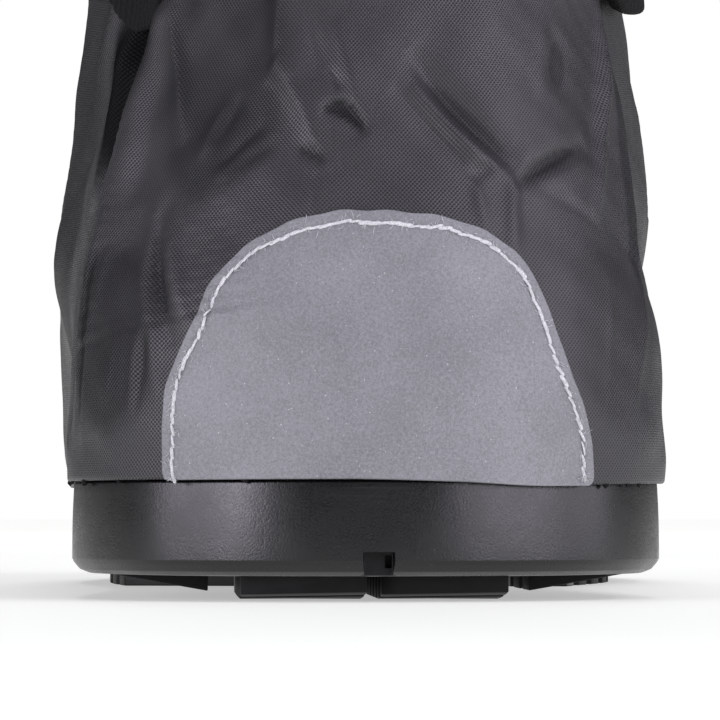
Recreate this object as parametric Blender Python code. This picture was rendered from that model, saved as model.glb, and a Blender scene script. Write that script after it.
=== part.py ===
"""Waterproof overboot, left foot: rubber sole, fabric upper, reflective heel patch and elastic ankle strap.

Sizes are in millimetres and become metres when a mesh is made. `along` runs from the back of the heel to
the toe, `across` from the lateral side (minus) to the medial side (plus), `height` up from the floor.
"""

from collections import namedtuple

import bmesh
import bpy
import numpy as np
from mathutils import Matrix, Vector

MM = 0.001

# Sole outline
SOLE_LENGTH = 312.0
BALL_HALF_WIDTH = 55.0
HEEL_ROUND = 46.0
HEEL_SQUARENESS = 2.3
TOE_ROUND = 80.0
TOE_SQUARENESS = 2.3
SoleStation = namedtuple("SoleStation", "name along centre half_width")
SOLE_STATIONS = [
    SoleStation("heel_back", 0.0, 0.0, 45.0),
    SoleStation("heel_widest", 46.0, 0.0, 46.0),
    SoleStation("waist", 118.0, 0.5, 43.0),
    SoleStation("ball", 208.0, 6.5, BALL_HALF_WIDTH),
    SoleStation("toe", 262.0, 9.5, 52.5),
    SoleStation("tip", SOLE_LENGTH, 11.0, 50.0),
]

# Sole heights: the rim and the lower edge are level at the heel and rise with the toe spring
RIM_HEIGHT = 18.2
BASE_BOTTOM = 3.8
FOOT_BED = 7.4
TOE_SPRING = 9.0
TOE_SPRING_START = 236.0
TOE_SPRING_POWER = 1.8
ARCH_RISE = 2.6
ARCH_MIDDLE = 116.0
ARCH_REACH = 34.0
HEEL_ROCKER = 2.6
HEEL_ROCKER_END = 32.0
HEEL_ROCKER_POWER = 1.4

# Rings of the sole's wall from under the base, round its edge, over the rim and down to the foot bed;
# `out` is measured outwards from the outline and `arch_share` says how far a ring follows the arch
SoleRing = namedtuple("SoleRing", "name out height arch_share")
SOLE_RINGS = [
    SoleRing("base_edge", -7.5, BASE_BOTTOM, 1.0),
    SoleRing("bevel", -1.9, 4.2, 0.6),
    SoleRing("lower_edge", -1.0, 4.6, 0.5),
    SoleRing("chamfer_top", 0.0, 6.2, 0.4),
    SoleRing("wall_belly", 0.3, 11.5, 0.0),
    SoleRing("wall_top", 0.0, 17.3, 0.0),
    SoleRing("rim_outer", -0.6, RIM_HEIGHT, 0.0),
    SoleRing("rim_inner", -2.8, RIM_HEIGHT, 0.0),
    SoleRing("inner_wall", -3.0, 9.6, 0.0),
    SoleRing("bed_edge", -5.2, FOOT_BED, 0.0),
]

# Notch in the lower edge at the back of the heel
NOTCH_WIDTH = 4.4
NOTCH_TOP = 7.4
NOTCH_DEPTH = 2.2

# Tread: slanted bars in two staggered halves, and blocks along the sides of the heel
BAR_TOP = 5.4
BAR_SLANT = -0.24
CENTRE_GAP = 2.4
END_STEPS = 6
TreadZone = namedtuple("TreadZone", "name start end pitch bar half_span edge_inset")
TREAD_ZONES = [
    TreadZone("heel", 12.0, 84.0, 9.6, 5.6, 19.0, 8.0),
    TreadZone("forefoot", 150.0, 286.0, 13.6, 8.2, BALL_HALF_WIDTH, 6.5),
]
HEEL_BLOCK_STARTS = (34.0, 52.0, 70.0)
HEEL_BLOCK_LENGTH = 12.0
HEEL_BLOCK_INNER = 25.0
HEEL_BLOCK_INSET = 5.0

# Upper: one row for each level, named by what it passes; a level is the height at the back of the heel.
# `foot_share` says how far the loop keeps the sole's outline, and `heel_share` how far its heel cup does,
# which ends at HEEL_CUP of the loop's length; the rest is an oval
WALL = 1.2
TURNED_EDGE = 3.2
UPPER_BOTTOM = RIM_HEIGHT + 0.3
OVERHANG = 1.1
OVAL_POWER = 0.92
HEEL_CUP = 0.34
RISE_START = 0.26
RISE_POWER = 1.5
UpperLevel = namedtuple(
    "UpperLevel", "name level back front front_height half_width centre foot_share heel_share"
)
UPPER_LEVELS = [
    UpperLevel("rim", UPPER_BOTTOM, -OVERHANG, SOLE_LENGTH + OVERHANG, UPPER_BOTTOM, 56.3, 4.0, 1.0, 1.0),
    UpperLevel("bulge", 27.0, -1.3, 312.0, 29.0, 57.0, 3.0, 0.86, 1.0),
    UpperLevel("toe_wall", 37.0, -0.6, 306.0, 44.0, 56.6, 1.2, 0.74, 1.0),
    UpperLevel("toe_top", 47.0, 0.8, 288.0, 58.0, 55.4, -0.4, 0.56, 0.95),
    UpperLevel("vamp_low", 56.0, 2.6, 257.0, 69.5, 53.2, -0.6, 0.36, 0.85),
    UpperLevel("vamp_middle", 65.0, 4.8, 226.0, 81.0, 51.0, -0.4, 0.28, 0.75),
    UpperLevel("instep_low", 74.0, 7.0, 199.0, 95.0, 48.6, -0.2, 0.22, 0.65),
    UpperLevel("instep", 84.0, 9.2, 175.0, 113.0, 46.4, 0.0, 0.14, 0.5),
    UpperLevel("ankle", 96.0, 10.8, 155.0, 134.0, 44.4, 0.0, 0.06, 0.35),
    UpperLevel("over_ankle", 118.0, 11.2, 141.0, 157.0, 44.2, 0.0, 0.0, 0.15),
    UpperLevel("shaft_low", 150.0, 9.0, 136.0, 184.0, 47.0, 0.0, 0.0, 0.0),
    UpperLevel("shaft_middle", 205.0, 4.0, 139.0, 224.0, 51.5, 0.0, 0.0, 0.0),
    UpperLevel("collar", 270.0, -2.0, 145.0, 276.0, 55.5, 0.0, 0.0, 0.0),
]
HEM_START = 248.0
HEM_STEP = 0.8
HEM_EDGE = 0.8

# Large folds of the slack wall below the strap; depth is inwards, and `turn` is in degrees round the loop
# from the back of the heel, lateral side first
Fold = namedtuple("Fold", "name turn turn_width level level_width depth")
UPPER_FOLDS = [
    Fold("lateral_pleat", 50.0, 7.0, 88.0, 20.0, 5.0),
    Fold("lateral_bulge", 72.0, 9.0, 54.0, 16.0, -2.4),
    Fold("medial_pleat", 312.0, 6.0, 84.0, 18.0, 3.0),
    Fold("medial_bulge", 286.0, 12.0, 70.0, 20.0, -3.4),
]

# Heel patch, measured along the wall from the middle of the heel
PATCH_HALF_WIDTH = 34.2
PATCH_BOTTOM = 19.4
PATCH_SIDE_TOP = 23.5
PATCH_TOP = 58.6
PATCH_DOME_POWER = 2.15
PATCH_LEAN = -2.5
PATCH_LIFT = 0.3
PATCH_THICKNESS = 0.6
PATCH_COLUMNS = 22
PATCH_ROWS = 9

# Ankle strap: an elastic band that rides over the wall's ridges, bridges its troughs and sits higher on the
# lateral side
STRAP_BOTTOM = 94.4
STRAP_TILT = 1.0
STRAP_WIDTH = 25.0
STRAP_LIFT = 0.4
STRAP_THICKNESS = 2.4
STRAP_EDGE = 0.7

# Mesh density: rows lie closer over the foot than up the shaft, by ROW_SPREAD
OUTLINE_POINTS = 96
LOOP_POINTS = 56
LEVEL_ROWS = 27
ROW_SPREAD = 1.35
HEEL_SAMPLES = np.radians(np.linspace(0, 70, 141))
SHARP_EDGE = np.radians(35)

FABRIC = ("fabric", (0.046, 0.045, 0.049), 0.62)
RUBBER = ("rubber", (0.020, 0.020, 0.022), 0.42)
REFLECTIVE = ("reflective", (0.26, 0.26, 0.28), 0.55)
ELASTIC = ("elastic", (0.010, 0.010, 0.011), 0.85)


def smooth_through(stations, values, at):
    """Cubic through (station, value) pairs, level at each peak, so that nothing overshoots between rows."""
    x = np.asarray(stations, float)
    y = np.asarray(values, float)
    step = np.diff(x)
    chord = np.diff(y) / step
    slope = np.concatenate([chord[:1], np.zeros(len(x) - 2), chord[-1:]])
    same_way = chord[:-1] * chord[1:] > 0
    before = 2 * step[1:] + step[:-1]
    after = step[1:] + 2 * step[:-1]
    safe = np.where(same_way, chord[:-1] * chord[1:], 1.0)
    mean = (before + after) * safe / np.where(same_way, before * chord[1:] + after * chord[:-1], 1.0)
    slope[1:-1] = np.where(same_way, mean, 0.0)
    at = np.clip(at, x[0], x[-1])
    k = np.clip(np.searchsorted(x, at, side="right") - 1, 0, len(step) - 1)
    u = (at - x[k]) / step[k]
    start = (1 + 2 * u) * (1 - u) ** 2 * y[k] + u * (1 - u) ** 2 * step[k] * slope[k]
    end = u**2 * (3 - 2 * u) * y[k + 1] - u**2 * (1 - u) * step[k] * slope[k + 1]
    return start + end


def column(rows, place, name, at):
    """A named column of a table, read at any place between its rows."""
    return smooth_through([getattr(row, place) for row in rows], [getattr(row, name) for row in rows], at)


def sole_centre(along):
    return column(SOLE_STATIONS, "along", "centre", along)


def sole_half_width(along):
    """Width of the stations, rounded off at the heel and the toe by superellipse ends."""
    heel = np.clip((HEEL_ROUND - along) / HEEL_ROUND, 0, 1)
    toe = np.clip((along - SOLE_LENGTH + TOE_ROUND) / TOE_ROUND, 0, 1)
    heel_end = (1 - heel**HEEL_SQUARENESS) ** (1 / HEEL_SQUARENESS)
    toe_end = (1 - toe**TOE_SQUARENESS) ** (1 / TOE_SQUARENESS)
    return column(SOLE_STATIONS, "along", "half_width", along) * heel_end * toe_end


def toe_spring(along):
    past = np.maximum((along - TOE_SPRING_START) / (SOLE_LENGTH - TOE_SPRING_START), 0)
    return TOE_SPRING * past**TOE_SPRING_POWER


def arch(along):
    return ARCH_RISE * np.exp(-(((along - ARCH_MIDDLE) / ARCH_REACH) ** 2))


def tread_height(along):
    """Height of the tread's ground face: level under heel and ball, lifted at the back edge and the toe."""
    before = np.clip((HEEL_ROCKER_END - along) / HEEL_ROCKER_END, 0, 1)
    return toe_spring(along) + HEEL_ROCKER * before**HEEL_ROCKER_POWER


def turns(count):
    """Angles round a loop: 0 at the back of the heel, the lateral side first, half a turn at the toe."""
    return np.arange(count) * 2 * np.pi / count


def side_of(turn):
    return np.where(np.sin(turn) >= 0, -1.0, 1.0)


def outward(across, along):
    """Unit vectors pointing out of a closed loop in plan."""
    d_across = np.roll(across, -1) - np.roll(across, 1)
    d_along = np.roll(along, -1) - np.roll(along, 1)
    size = np.hypot(d_across, d_along)
    return -d_along / size, d_across / size


def upper_point(turn, level):
    """The smooth outer face of the upper, as an array whose last axis is (across, along, height)."""
    turn, level = np.broadcast_arrays(np.asarray(turn, float), np.asarray(level, float))
    at = {name: column(UPPER_LEVELS, "level", name, level) for name in UpperLevel._fields[2:]}
    part = (1 - np.cos(turn)) / 2
    along = at["back"] + (at["front"] - at["back"]) * part
    foot_along = SOLE_LENGTH * part
    foot = sole_half_width(foot_along) / BALL_HALF_WIDTH
    oval = np.abs(np.sin(turn)) ** OVAL_POWER
    share = at["foot_share"]
    before = np.clip(1 - part / HEEL_CUP, 0, 1)
    shape_share = share + (at["heel_share"] - share) * before**2 * (3 - 2 * before)
    half = at["half_width"] * (shape_share * foot + (1 - shape_share) * oval)
    centre = share * sole_centre(foot_along) + (1 - share) * at["centre"]
    rise = np.clip((part - RISE_START) / (1 - RISE_START), 0, 1) ** RISE_POWER
    height = level + (at["front_height"] - level) * rise + share * toe_spring(along)
    return np.stack([centre + side_of(turn) * half, along, height], axis=-1)


def upper_normal(turn, level):
    """Unit vectors out of the smooth face, from its two tangents."""
    nudge_turn, nudge_level = 0.01, 0.2
    round_it = upper_point(turn + nudge_turn, level) - upper_point(turn - nudge_turn, level)
    up_it = upper_point(turn, level + nudge_level) - upper_point(turn, level - nudge_level)
    normal = np.cross(up_it, round_it)
    return normal / np.linalg.norm(normal, axis=-1, keepdims=True)


def fold_depth(turn, level):
    """Depth of the large folds: a soft trough or ridge for each row of the table."""
    depth = np.zeros(np.broadcast(turn, level).shape)
    for fold in UPPER_FOLDS:
        away = np.degrees(turn) - fold.turn
        up = level - fold.level
        depth += fold.depth * np.exp(-((away / fold.turn_width) ** 2) - (up / fold.level_width) ** 2)
    return depth


def hem_step(level):
    return HEM_STEP * (level >= HEM_START)


def new_object(name, points, faces, material):
    """A mesh object from points in millimetres, with its faces turned outwards."""
    mesh = bpy.data.meshes.new(name)
    mesh.from_pydata((np.asarray(points, float) * MM).tolist(), [], faces)
    shell = bmesh.new()
    shell.from_mesh(mesh)
    bmesh.ops.recalc_face_normals(shell, faces=shell.faces)
    shell.to_mesh(mesh)
    shell.free()
    mesh.shade_smooth()
    mesh.set_sharp_from_angle(angle=SHARP_EDGE)
    if material:
        mesh.materials.append(material)
    thing = bpy.data.objects.new(name, mesh)
    bpy.context.collection.objects.link(thing)
    return thing


def new_material(finish):
    name, colour, roughness = finish
    material = bpy.data.materials.new(name)
    material.use_nodes = True
    shader = material.node_tree.nodes["Principled BSDF"]
    shader.inputs["Base Color"].default_value = (*colour, 1.0)
    shader.inputs["Roughness"].default_value = roughness
    shader.inputs["Metallic"].default_value = 0.0
    return material


def tube_faces(rows, count):
    """Quads between neighbouring rows of a grid whose columns close into a loop."""
    faces = []
    for row in range(rows - 1):
        for k in range(count):
            after = (k + 1) % count
            low, high = row * count, (row + 1) * count
            faces.append((low + k, low + after, high + after, high + k))
    return faces


def ladder_faces(first, count):
    """Fills a loop with quads that join each point to the one across from it."""
    faces = [(first, first + 1, first + count - 1)]
    half = count // 2
    for k in range(1, half - 1):
        faces.append((first + k, first + k + 1, first + count - k - 1, first + count - k))
    faces.append((first + half - 1, first + half, first + half + 1))
    return faces


def hide(helper):
    helper.hide_render = True
    helper.display_type = "WIRE"
    return helper


def add_boolean(thing, helper, operation):
    cut = thing.modifiers.new(helper.name, "BOOLEAN")
    cut.operation = operation
    cut.object = hide(helper)


def prism(plan, bottoms, top):
    """Points and faces of a block: a ground height for each corner of its plan, a top with the toe spring."""
    count = len(plan)
    points = [(x, y, z) for (x, y), z in zip(plan, bottoms)]
    points += [(x, y, top + toe_spring(y)) for x, y in plan]
    faces = [tuple(range(count)), tuple(range(count, 2 * count))]
    faces += [(k, (k + 1) % count, (k + 1) % count + count, k + count) for k in range(count)]
    return points, faces


def reach_across(along, side, inset):
    """How far a tread block may go to one side before it comes `inset` from the outline."""
    return float(sole_centre(along) + side * max(sole_half_width(along) - inset, 0.0))


def bar_end(inner, low, side, zone):
    """Outer corner of a slanted edge that starts at (inner, low), found by stepping it to the outline."""
    outer = inner
    for _ in range(END_STEPS):
        along = low + BAR_SLANT * (outer - inner)
        reach = reach_across(along, side, zone.edge_inset)
        outer = side * min(side * reach, side * inner + zone.half_span)
    return outer, low + BAR_SLANT * (outer - inner)


def tread_blocks():
    """Plan outlines of the tread: slanted bars on each side of the middle gap, and the heel's side blocks."""
    plans = []
    for zone in TREAD_ZONES:
        for side in (-1, 1):
            start = zone.start + (zone.pitch / 2 if side > 0 else 0.0)
            for low in np.arange(start, zone.end, zone.pitch):
                inner = float(sole_centre(low)) + side * CENTRE_GAP / 2
                high = low + zone.bar
                ends = [bar_end(inner, edge, side, zone) for edge in (low, high)]
                plans.append([(inner, low), ends[0], ends[1], (inner, high)])
    for low in HEEL_BLOCK_STARTS:
        high = low + HEEL_BLOCK_LENGTH
        for side in (-1, 1):
            ends = [reach_across(y, side, HEEL_BLOCK_INSET) for y in (low, high)]
            inner = side * HEEL_BLOCK_INNER
            plans.append([(inner, low), (ends[0], low), (ends[1], high), (inner, high)])
    return plans


def make_tread():
    points, faces = [], []
    for plan in tread_blocks():
        bottoms = [float(tread_height(y)) for _, y in plan]
        block_points, block_faces = prism(plan, bottoms, BAR_TOP)
        faces += [tuple(k + len(points) for k in face) for face in block_faces]
        points += block_points
    return new_object("tread_helper", points, faces, None)


def make_notch():
    half, deep = NOTCH_WIDTH / 2, NOTCH_DEPTH
    plan = [(-half, -deep), (half, -deep), (half, deep), (-half, deep)]
    points, faces = prism(plan, [0.0] * 4, NOTCH_TOP)
    return new_object("notch_helper", points, faces, None)


def make_outsole(material):
    """The rubber moulding: rings round the outline, filled across under the base and over the foot bed."""
    turn = turns(OUTLINE_POINTS)
    along = SOLE_LENGTH * (1 - np.cos(turn)) / 2
    across = sole_centre(along) + side_of(turn) * sole_half_width(along)
    out_across, out_along = outward(across, along)
    rings = []
    for ring in SOLE_RINGS:
        height = ring.height + toe_spring(along) + ring.arch_share * arch(along)
        rings.append(np.stack([across + ring.out * out_across, along + ring.out * out_along, height], axis=1))
    faces = tube_faces(len(rings), OUTLINE_POINTS)
    faces += ladder_faces(0, OUTLINE_POINTS)
    faces += ladder_faces((len(rings) - 1) * OUTLINE_POINTS, OUTLINE_POINTS)
    outsole = new_object("outsole", np.concatenate(rings), faces, material)
    add_boolean(outsole, make_notch(), "DIFFERENCE")
    add_boolean(outsole, make_tread(), "UNION")
    return outsole


def upper_rows():
    """Levels of the upper's rows: close together over the foot, wider up the shaft, with the hem's step."""
    rim, collar = UPPER_LEVELS[0].level, UPPER_LEVELS[-1].level
    spread = rim + (HEM_START - HEM_EDGE - rim) * np.linspace(0, 1, LEVEL_ROWS) ** ROW_SPREAD
    return np.concatenate([spread, [HEM_START, (HEM_START + collar) / 2, collar]])


def make_upper(material):
    """The hollow wall: an outer and an inner grid, joined by the turned lower edge and the collar's edge."""
    turn = turns(LOOP_POINTS)[None, :]
    level = upper_rows()[:, None]
    normal = upper_normal(turn, level)
    outer = upper_point(turn, level) + normal * (hem_step(level) - fold_depth(turn, level))[..., None]
    wall = np.where(np.arange(len(level)) == 0, TURNED_EDGE, WALL)[:, None, None]
    inner = outer - normal * (wall + hem_step(level)[..., None])
    inner[0, :, 2] = outer[0, :, 2]
    rows = len(level)
    count = LOOP_POINTS
    faces = tube_faces(rows, count)
    faces += [tuple(k + rows * count for k in reversed(face)) for face in tube_faces(rows, count)]
    for row in (0, rows - 1):
        for k in range(count):
            after = (k + 1) % count
            outside, inside = row * count, (rows + row) * count
            faces.append((outside + k, outside + after, inside + after, inside + k))
    points = np.concatenate([outer.reshape(-1, 3), inner.reshape(-1, 3)])
    return new_object("upper", points, faces, material)


def turn_at_arc(arc, level):
    """The turn at a distance along the wall from the middle of the heel, lateral side positive.

    Distances are measured on the bulge's loop and scaled by the width of the loop at each level.
    """
    bulge = UPPER_LEVELS[1]
    points = upper_point(HEEL_SAMPLES, bulge.level)
    lengths = np.concatenate([[0], np.cumsum(np.linalg.norm(np.diff(points, axis=0), axis=1))])
    scaled = np.abs(arc) * bulge.half_width / column(UPPER_LEVELS, "level", "half_width", level)
    return np.sign(arc) * np.interp(scaled, lengths, HEEL_SAMPLES)


def patch_top(part):
    """Top edge of the patch at a share of its half width: straight sides under a superellipse dome."""
    dome = (1 - np.abs(part) ** PATCH_DOME_POWER) ** (1 / PATCH_DOME_POWER)
    return PATCH_SIDE_TOP + (PATCH_TOP - PATCH_SIDE_TOP) * dome


def make_heel_patch(material):
    """The reflective dome, cut between two faces that are offset from the upper's own face."""
    part = np.sin(np.linspace(-np.pi / 2, np.pi / 2, PATCH_COLUMNS))[None, :]
    up = np.linspace(0, 1, PATCH_ROWS)[:, None]
    level = PATCH_BOTTOM + up * (patch_top(part) - PATCH_BOTTOM)
    lean = PATCH_LEAN * (level - PATCH_BOTTOM) / (PATCH_TOP - PATCH_BOTTOM)
    arc = -(part * PATCH_HALF_WIDTH + lean)
    turn = turn_at_arc(arc, level)
    base = upper_point(turn, level)
    normal = upper_normal(turn, level)
    faces_of = [base + normal * lift for lift in (PATCH_LIFT, PATCH_LIFT + PATCH_THICKNESS)]
    points = np.concatenate([side.reshape(-1, 3) for side in faces_of])
    back = PATCH_ROWS * PATCH_COLUMNS
    faces = []
    for row in range(PATCH_ROWS - 1):
        for k in range(PATCH_COLUMNS - 1):
            corner = row * PATCH_COLUMNS + k
            quad = (corner, corner + 1, corner + PATCH_COLUMNS + 1, corner + PATCH_COLUMNS)
            faces += [quad, tuple(point + back for point in reversed(quad))]
    edge = list(range(PATCH_COLUMNS))
    edge += [row * PATCH_COLUMNS + PATCH_COLUMNS - 1 for row in range(1, PATCH_ROWS)]
    edge += [(PATCH_ROWS - 1) * PATCH_COLUMNS + k for k in range(PATCH_COLUMNS - 2, -1, -1)]
    edge += [row * PATCH_COLUMNS for row in range(PATCH_ROWS - 2, 0, -1)]
    for k, point in enumerate(edge):
        after = edge[(k + 1) % len(edge)]
        faces.append((point, after, after + back, point + back))
    return new_object("heel_patch", points, faces, material)


def make_ankle_strap(material):
    """The elastic band: a flat profile with eased edges, carried round the smooth face of the upper."""
    low, high = STRAP_BOTTOM, STRAP_BOTTOM + STRAP_WIDTH
    near, far = STRAP_LIFT, STRAP_LIFT + STRAP_THICKNESS
    profile = [(near, low + STRAP_EDGE), (far - STRAP_EDGE, low), (far, low + STRAP_EDGE)]
    profile += [(far, (low + high) / 2), (far, high - STRAP_EDGE)]
    profile += [(far - STRAP_EDGE, high), (near, high - STRAP_EDGE), (near, (low + high) / 2)]
    turn = turns(LOOP_POINTS)
    tilt = STRAP_TILT * np.sin(turn)
    rings = []
    for lift, middle_level in profile:
        level = middle_level + tilt
        ridge = np.maximum(-fold_depth(turn, level), 0)
        rings.append(upper_point(turn, level) + upper_normal(turn, level) * (lift + ridge)[:, None])
    faces = tube_faces(len(rings), LOOP_POINTS)
    last = (len(rings) - 1) * LOOP_POINTS
    for k in range(LOOP_POINTS):
        after = (k + 1) % LOOP_POINTS
        faces.append((last + k, last + after, after, k))
    return new_object("ankle_strap", np.concatenate(rings), faces, material)


def centre_over_floor(things):
    """Moves every mesh so that the middle of the boot's plan is the origin."""
    corners = np.array([vertex.co for thing in things for vertex in thing.data.vertices])
    middle = (corners.min(axis=0) + corners.max(axis=0)) / 2
    for mesh in {thing.data for thing in bpy.data.objects}:
        mesh.transform(Matrix.Translation(Vector((-middle[0], -middle[1], 0.0))))


def main():
    for thing in list(bpy.data.objects):
        bpy.data.objects.remove(thing)
    parts = [
        make_outsole(new_material(RUBBER)),
        make_upper(new_material(FABRIC)),
        make_heel_patch(new_material(REFLECTIVE)),
        make_ankle_strap(new_material(ELASTIC)),
    ]
    centre_over_floor(parts)


main()
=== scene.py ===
"""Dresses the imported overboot: creased cloth upper, rubber sole, stitched heel patch and ribbed ankle strap.

Sizes in the tables are in millimetres and become metres when a mesh is made. `along` runs from the back of
the heel to the toe, `across` from the lateral side (minus) to the medial side (plus), `height` up from the
floor. `arc` is the distance along the wall from the middle of the heel, lateral side minus, and `level` is
the height that a loop of the wall has at the back of the heel.
"""

from collections import namedtuple

import bmesh
import bpy
import numpy as np
from mathutils import Matrix, Vector


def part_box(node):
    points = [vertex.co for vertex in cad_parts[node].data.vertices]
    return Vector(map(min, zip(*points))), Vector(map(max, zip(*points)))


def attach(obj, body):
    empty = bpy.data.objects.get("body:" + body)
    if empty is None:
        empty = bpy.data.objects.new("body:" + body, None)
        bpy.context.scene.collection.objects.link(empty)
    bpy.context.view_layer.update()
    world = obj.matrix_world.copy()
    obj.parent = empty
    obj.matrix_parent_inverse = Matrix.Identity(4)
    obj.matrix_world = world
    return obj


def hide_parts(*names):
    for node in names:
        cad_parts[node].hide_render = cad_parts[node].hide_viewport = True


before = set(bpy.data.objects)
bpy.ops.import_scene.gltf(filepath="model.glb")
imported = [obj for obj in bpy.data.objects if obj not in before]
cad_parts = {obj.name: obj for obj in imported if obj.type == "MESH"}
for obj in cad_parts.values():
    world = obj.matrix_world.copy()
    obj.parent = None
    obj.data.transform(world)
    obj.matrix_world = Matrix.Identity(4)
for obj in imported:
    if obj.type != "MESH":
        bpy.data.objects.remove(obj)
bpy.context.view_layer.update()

bl_info = {
    "name": "Waterproof overboot",
    "version": (1, 0, 0),
    "blender": (4, 5, 0),
    "location": "3D View > Sidebar > Overboot",
    "description": "Builds the looks of a waterproof overboot round its packed solids",
    "category": "Object",
}

MM = 0.001
PICTURE_WIDTH = 720
SENSOR_WIDTH = 36.0
CLIP_START = 0.01

# Sole outline and heights, as in the solids
SOLE_LENGTH = 312.0
BALL_HALF_WIDTH = 55.0
HEEL_ROUND = 46.0
HEEL_SQUARENESS = 2.3
TOE_ROUND = 80.0
TOE_SQUARENESS = 2.3
SoleStation = namedtuple("SoleStation", "name along centre half_width")
SOLE_STATIONS = [
    SoleStation("heel_back", 0.0, 0.0, 45.0),
    SoleStation("heel_widest", 46.0, 0.0, 46.0),
    SoleStation("waist", 118.0, 0.5, 43.0),
    SoleStation("ball", 208.0, 6.5, BALL_HALF_WIDTH),
    SoleStation("toe", 262.0, 9.5, 52.5),
    SoleStation("tip", SOLE_LENGTH, 11.0, 50.0),
]
RIM_HEIGHT = 18.2
BASE_BOTTOM = 3.8
FOOT_BED = 7.4
TOE_SPRING = 9.0
TOE_SPRING_START = 236.0
TOE_SPRING_POWER = 1.8
ARCH_RISE = 2.6
ARCH_MIDDLE = 116.0
ARCH_REACH = 34.0
HEEL_ROCKER = 2.6
HEEL_ROCKER_END = 32.0
HEEL_ROCKER_POWER = 1.4

# Rings of the sole's wall, from under the base, round its edge and over the rim to the foot bed, with crisper
# edges than the solids'; `round` is how far from a corner its rounding starts
SoleRing = namedtuple("SoleRing", "name out height arch_share round")
WALL_BELLY = 0.3
SOLE_RINGS = [
    SoleRing("base_edge", -7.5, BASE_BOTTOM, 1.0, 0.0),
    SoleRing("bevel", -2.4, 3.95, 0.6, 0.3),
    SoleRing("lower_edge", -0.9, 4.55, 0.5, 0.2),
    SoleRing("band", 0.0, 5.6, 0.4, 0.3),
    SoleRing("wall_bottom", WALL_BELLY, 6.2, 0.4, 0.08),
    SoleRing("wall_belly", WALL_BELLY, 12.5, 0.0, 4.0),
    SoleRing("wall_top", 0.0, 17.95, 0.0, 0.2),
    SoleRing("rim_outer", -0.3, RIM_HEIGHT, 0.0, 0.1),
    SoleRing("rim_inner", -2.8, RIM_HEIGHT, 0.0, 0.2),
    SoleRing("inner_wall", -3.0, 9.6, 0.0, 0.8),
    SoleRing("bed_edge", -5.2, FOOT_BED, 0.0, 0.0),
]
OUTLINE_POINTS = 640
CORNER_STEPS = np.linspace(0, 1, 5)[:, None, None]
PLAN_SAMPLES = 2000
WELD_DISTANCE = 1e-7
SHARP_ANGLE = np.radians(38)
# Slack in choosing the faces that take the darker rubber of painted shade
DULL_SHADED_SLACK = 0.1

# Notch in the lower edge at the back of the heel, flared where it meets the wall, and the slot inside it
NOTCH_WIDTH = 4.4
NOTCH_TOP = 7.5
NOTCH_DEPTH = 2.2
NOTCH_FLARE = 0.5
NOTCH_FLARE_DEPTH = 0.9
NOTCH_BEVEL = 0.15
SLOT_MIDDLE = 1.5
SLOT_WIDTH = 1.0
SLOT_BOTTOM = 5.1
SLOT_TOP = 7.0
SLOT_DEPTH = 4.5
SLOT_BEVEL = 0.1
BEVEL_SEGMENTS = 2

# Tread: slanted bars in two staggered halves, and blocks along the sides of the heel
BAR_TOP = 5.4
BAR_SLANT = -0.24
CENTRE_GAP = 2.4
END_STEPS = 6
TREAD_BEVEL = 0.22
TreadZone = namedtuple("TreadZone", "name start end pitch bar half_span edge_inset")
TREAD_ZONES = [
    TreadZone("heel", 12.0, 84.0, 9.6, 5.6, 19.0, 8.0),
    TreadZone("forefoot", 150.0, 286.0, 13.6, 8.2, BALL_HALF_WIDTH, 6.5),
]
HEEL_BLOCK_STARTS = (34.0, 52.0, 70.0)
HEEL_BLOCK_LENGTH = 12.0
HEEL_BLOCK_INNER = 25.0
HEEL_BLOCK_INSET = 3.0
HEEL_BLOCK_INNER_HEIGHT = 1.2
HEEL_BLOCK_OUTER_HEIGHT = 4.2

# Upper: one row for each level, as in the solids
UPPER_BOTTOM = RIM_HEIGHT + 0.3
OVERHANG = 1.1
OVAL_POWER = 0.92
HEEL_CUP = 0.34
RISE_START = 0.26
RISE_POWER = 1.5
UpperLevel = namedtuple(
    "UpperLevel", "name level back front front_height half_width centre foot_share heel_share"
)
UPPER_LEVELS = [
    UpperLevel("rim", UPPER_BOTTOM, -OVERHANG, SOLE_LENGTH + OVERHANG, UPPER_BOTTOM, 56.3, 4.0, 1.0, 1.0),
    UpperLevel("bulge", 27.0, -1.3, 312.0, 29.0, 57.0, 3.0, 0.86, 1.0),
    UpperLevel("toe_wall", 37.0, -0.6, 306.0, 44.0, 56.6, 1.2, 0.74, 1.0),
    UpperLevel("toe_top", 47.0, 0.8, 288.0, 58.0, 55.4, -0.4, 0.56, 0.95),
    UpperLevel("vamp_low", 56.0, 2.6, 257.0, 69.5, 53.2, -0.6, 0.36, 0.85),
    UpperLevel("vamp_middle", 65.0, 4.8, 226.0, 81.0, 51.0, -0.4, 0.28, 0.75),
    UpperLevel("instep_low", 74.0, 7.0, 199.0, 95.0, 48.6, -0.2, 0.22, 0.65),
    UpperLevel("instep", 84.0, 9.2, 175.0, 113.0, 46.4, 0.0, 0.14, 0.5),
    UpperLevel("ankle", 96.0, 10.8, 155.0, 134.0, 44.4, 0.0, 0.06, 0.35),
    UpperLevel("over_ankle", 118.0, 11.2, 141.0, 157.0, 44.2, 0.0, 0.0, 0.15),
    UpperLevel("shaft_low", 150.0, 9.0, 136.0, 184.0, 47.0, 0.0, 0.0, 0.0),
    UpperLevel("shaft_middle", 205.0, 4.0, 139.0, 224.0, 51.5, 0.0, 0.0, 0.0),
    UpperLevel("collar", 270.0, -2.0, 145.0, 276.0, 55.5, 0.0, 0.0, 0.0),
]
BULGE = UPPER_LEVELS[1]
COLLAR = UPPER_LEVELS[-1]
HEM_START = 248.0
HEM_STEP = 0.8
HEM_EDGE = 0.8
HEM_ROWS = 8
COLLAR_ROUND = 0.5
ARC_SAMPLES = 1441

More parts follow.
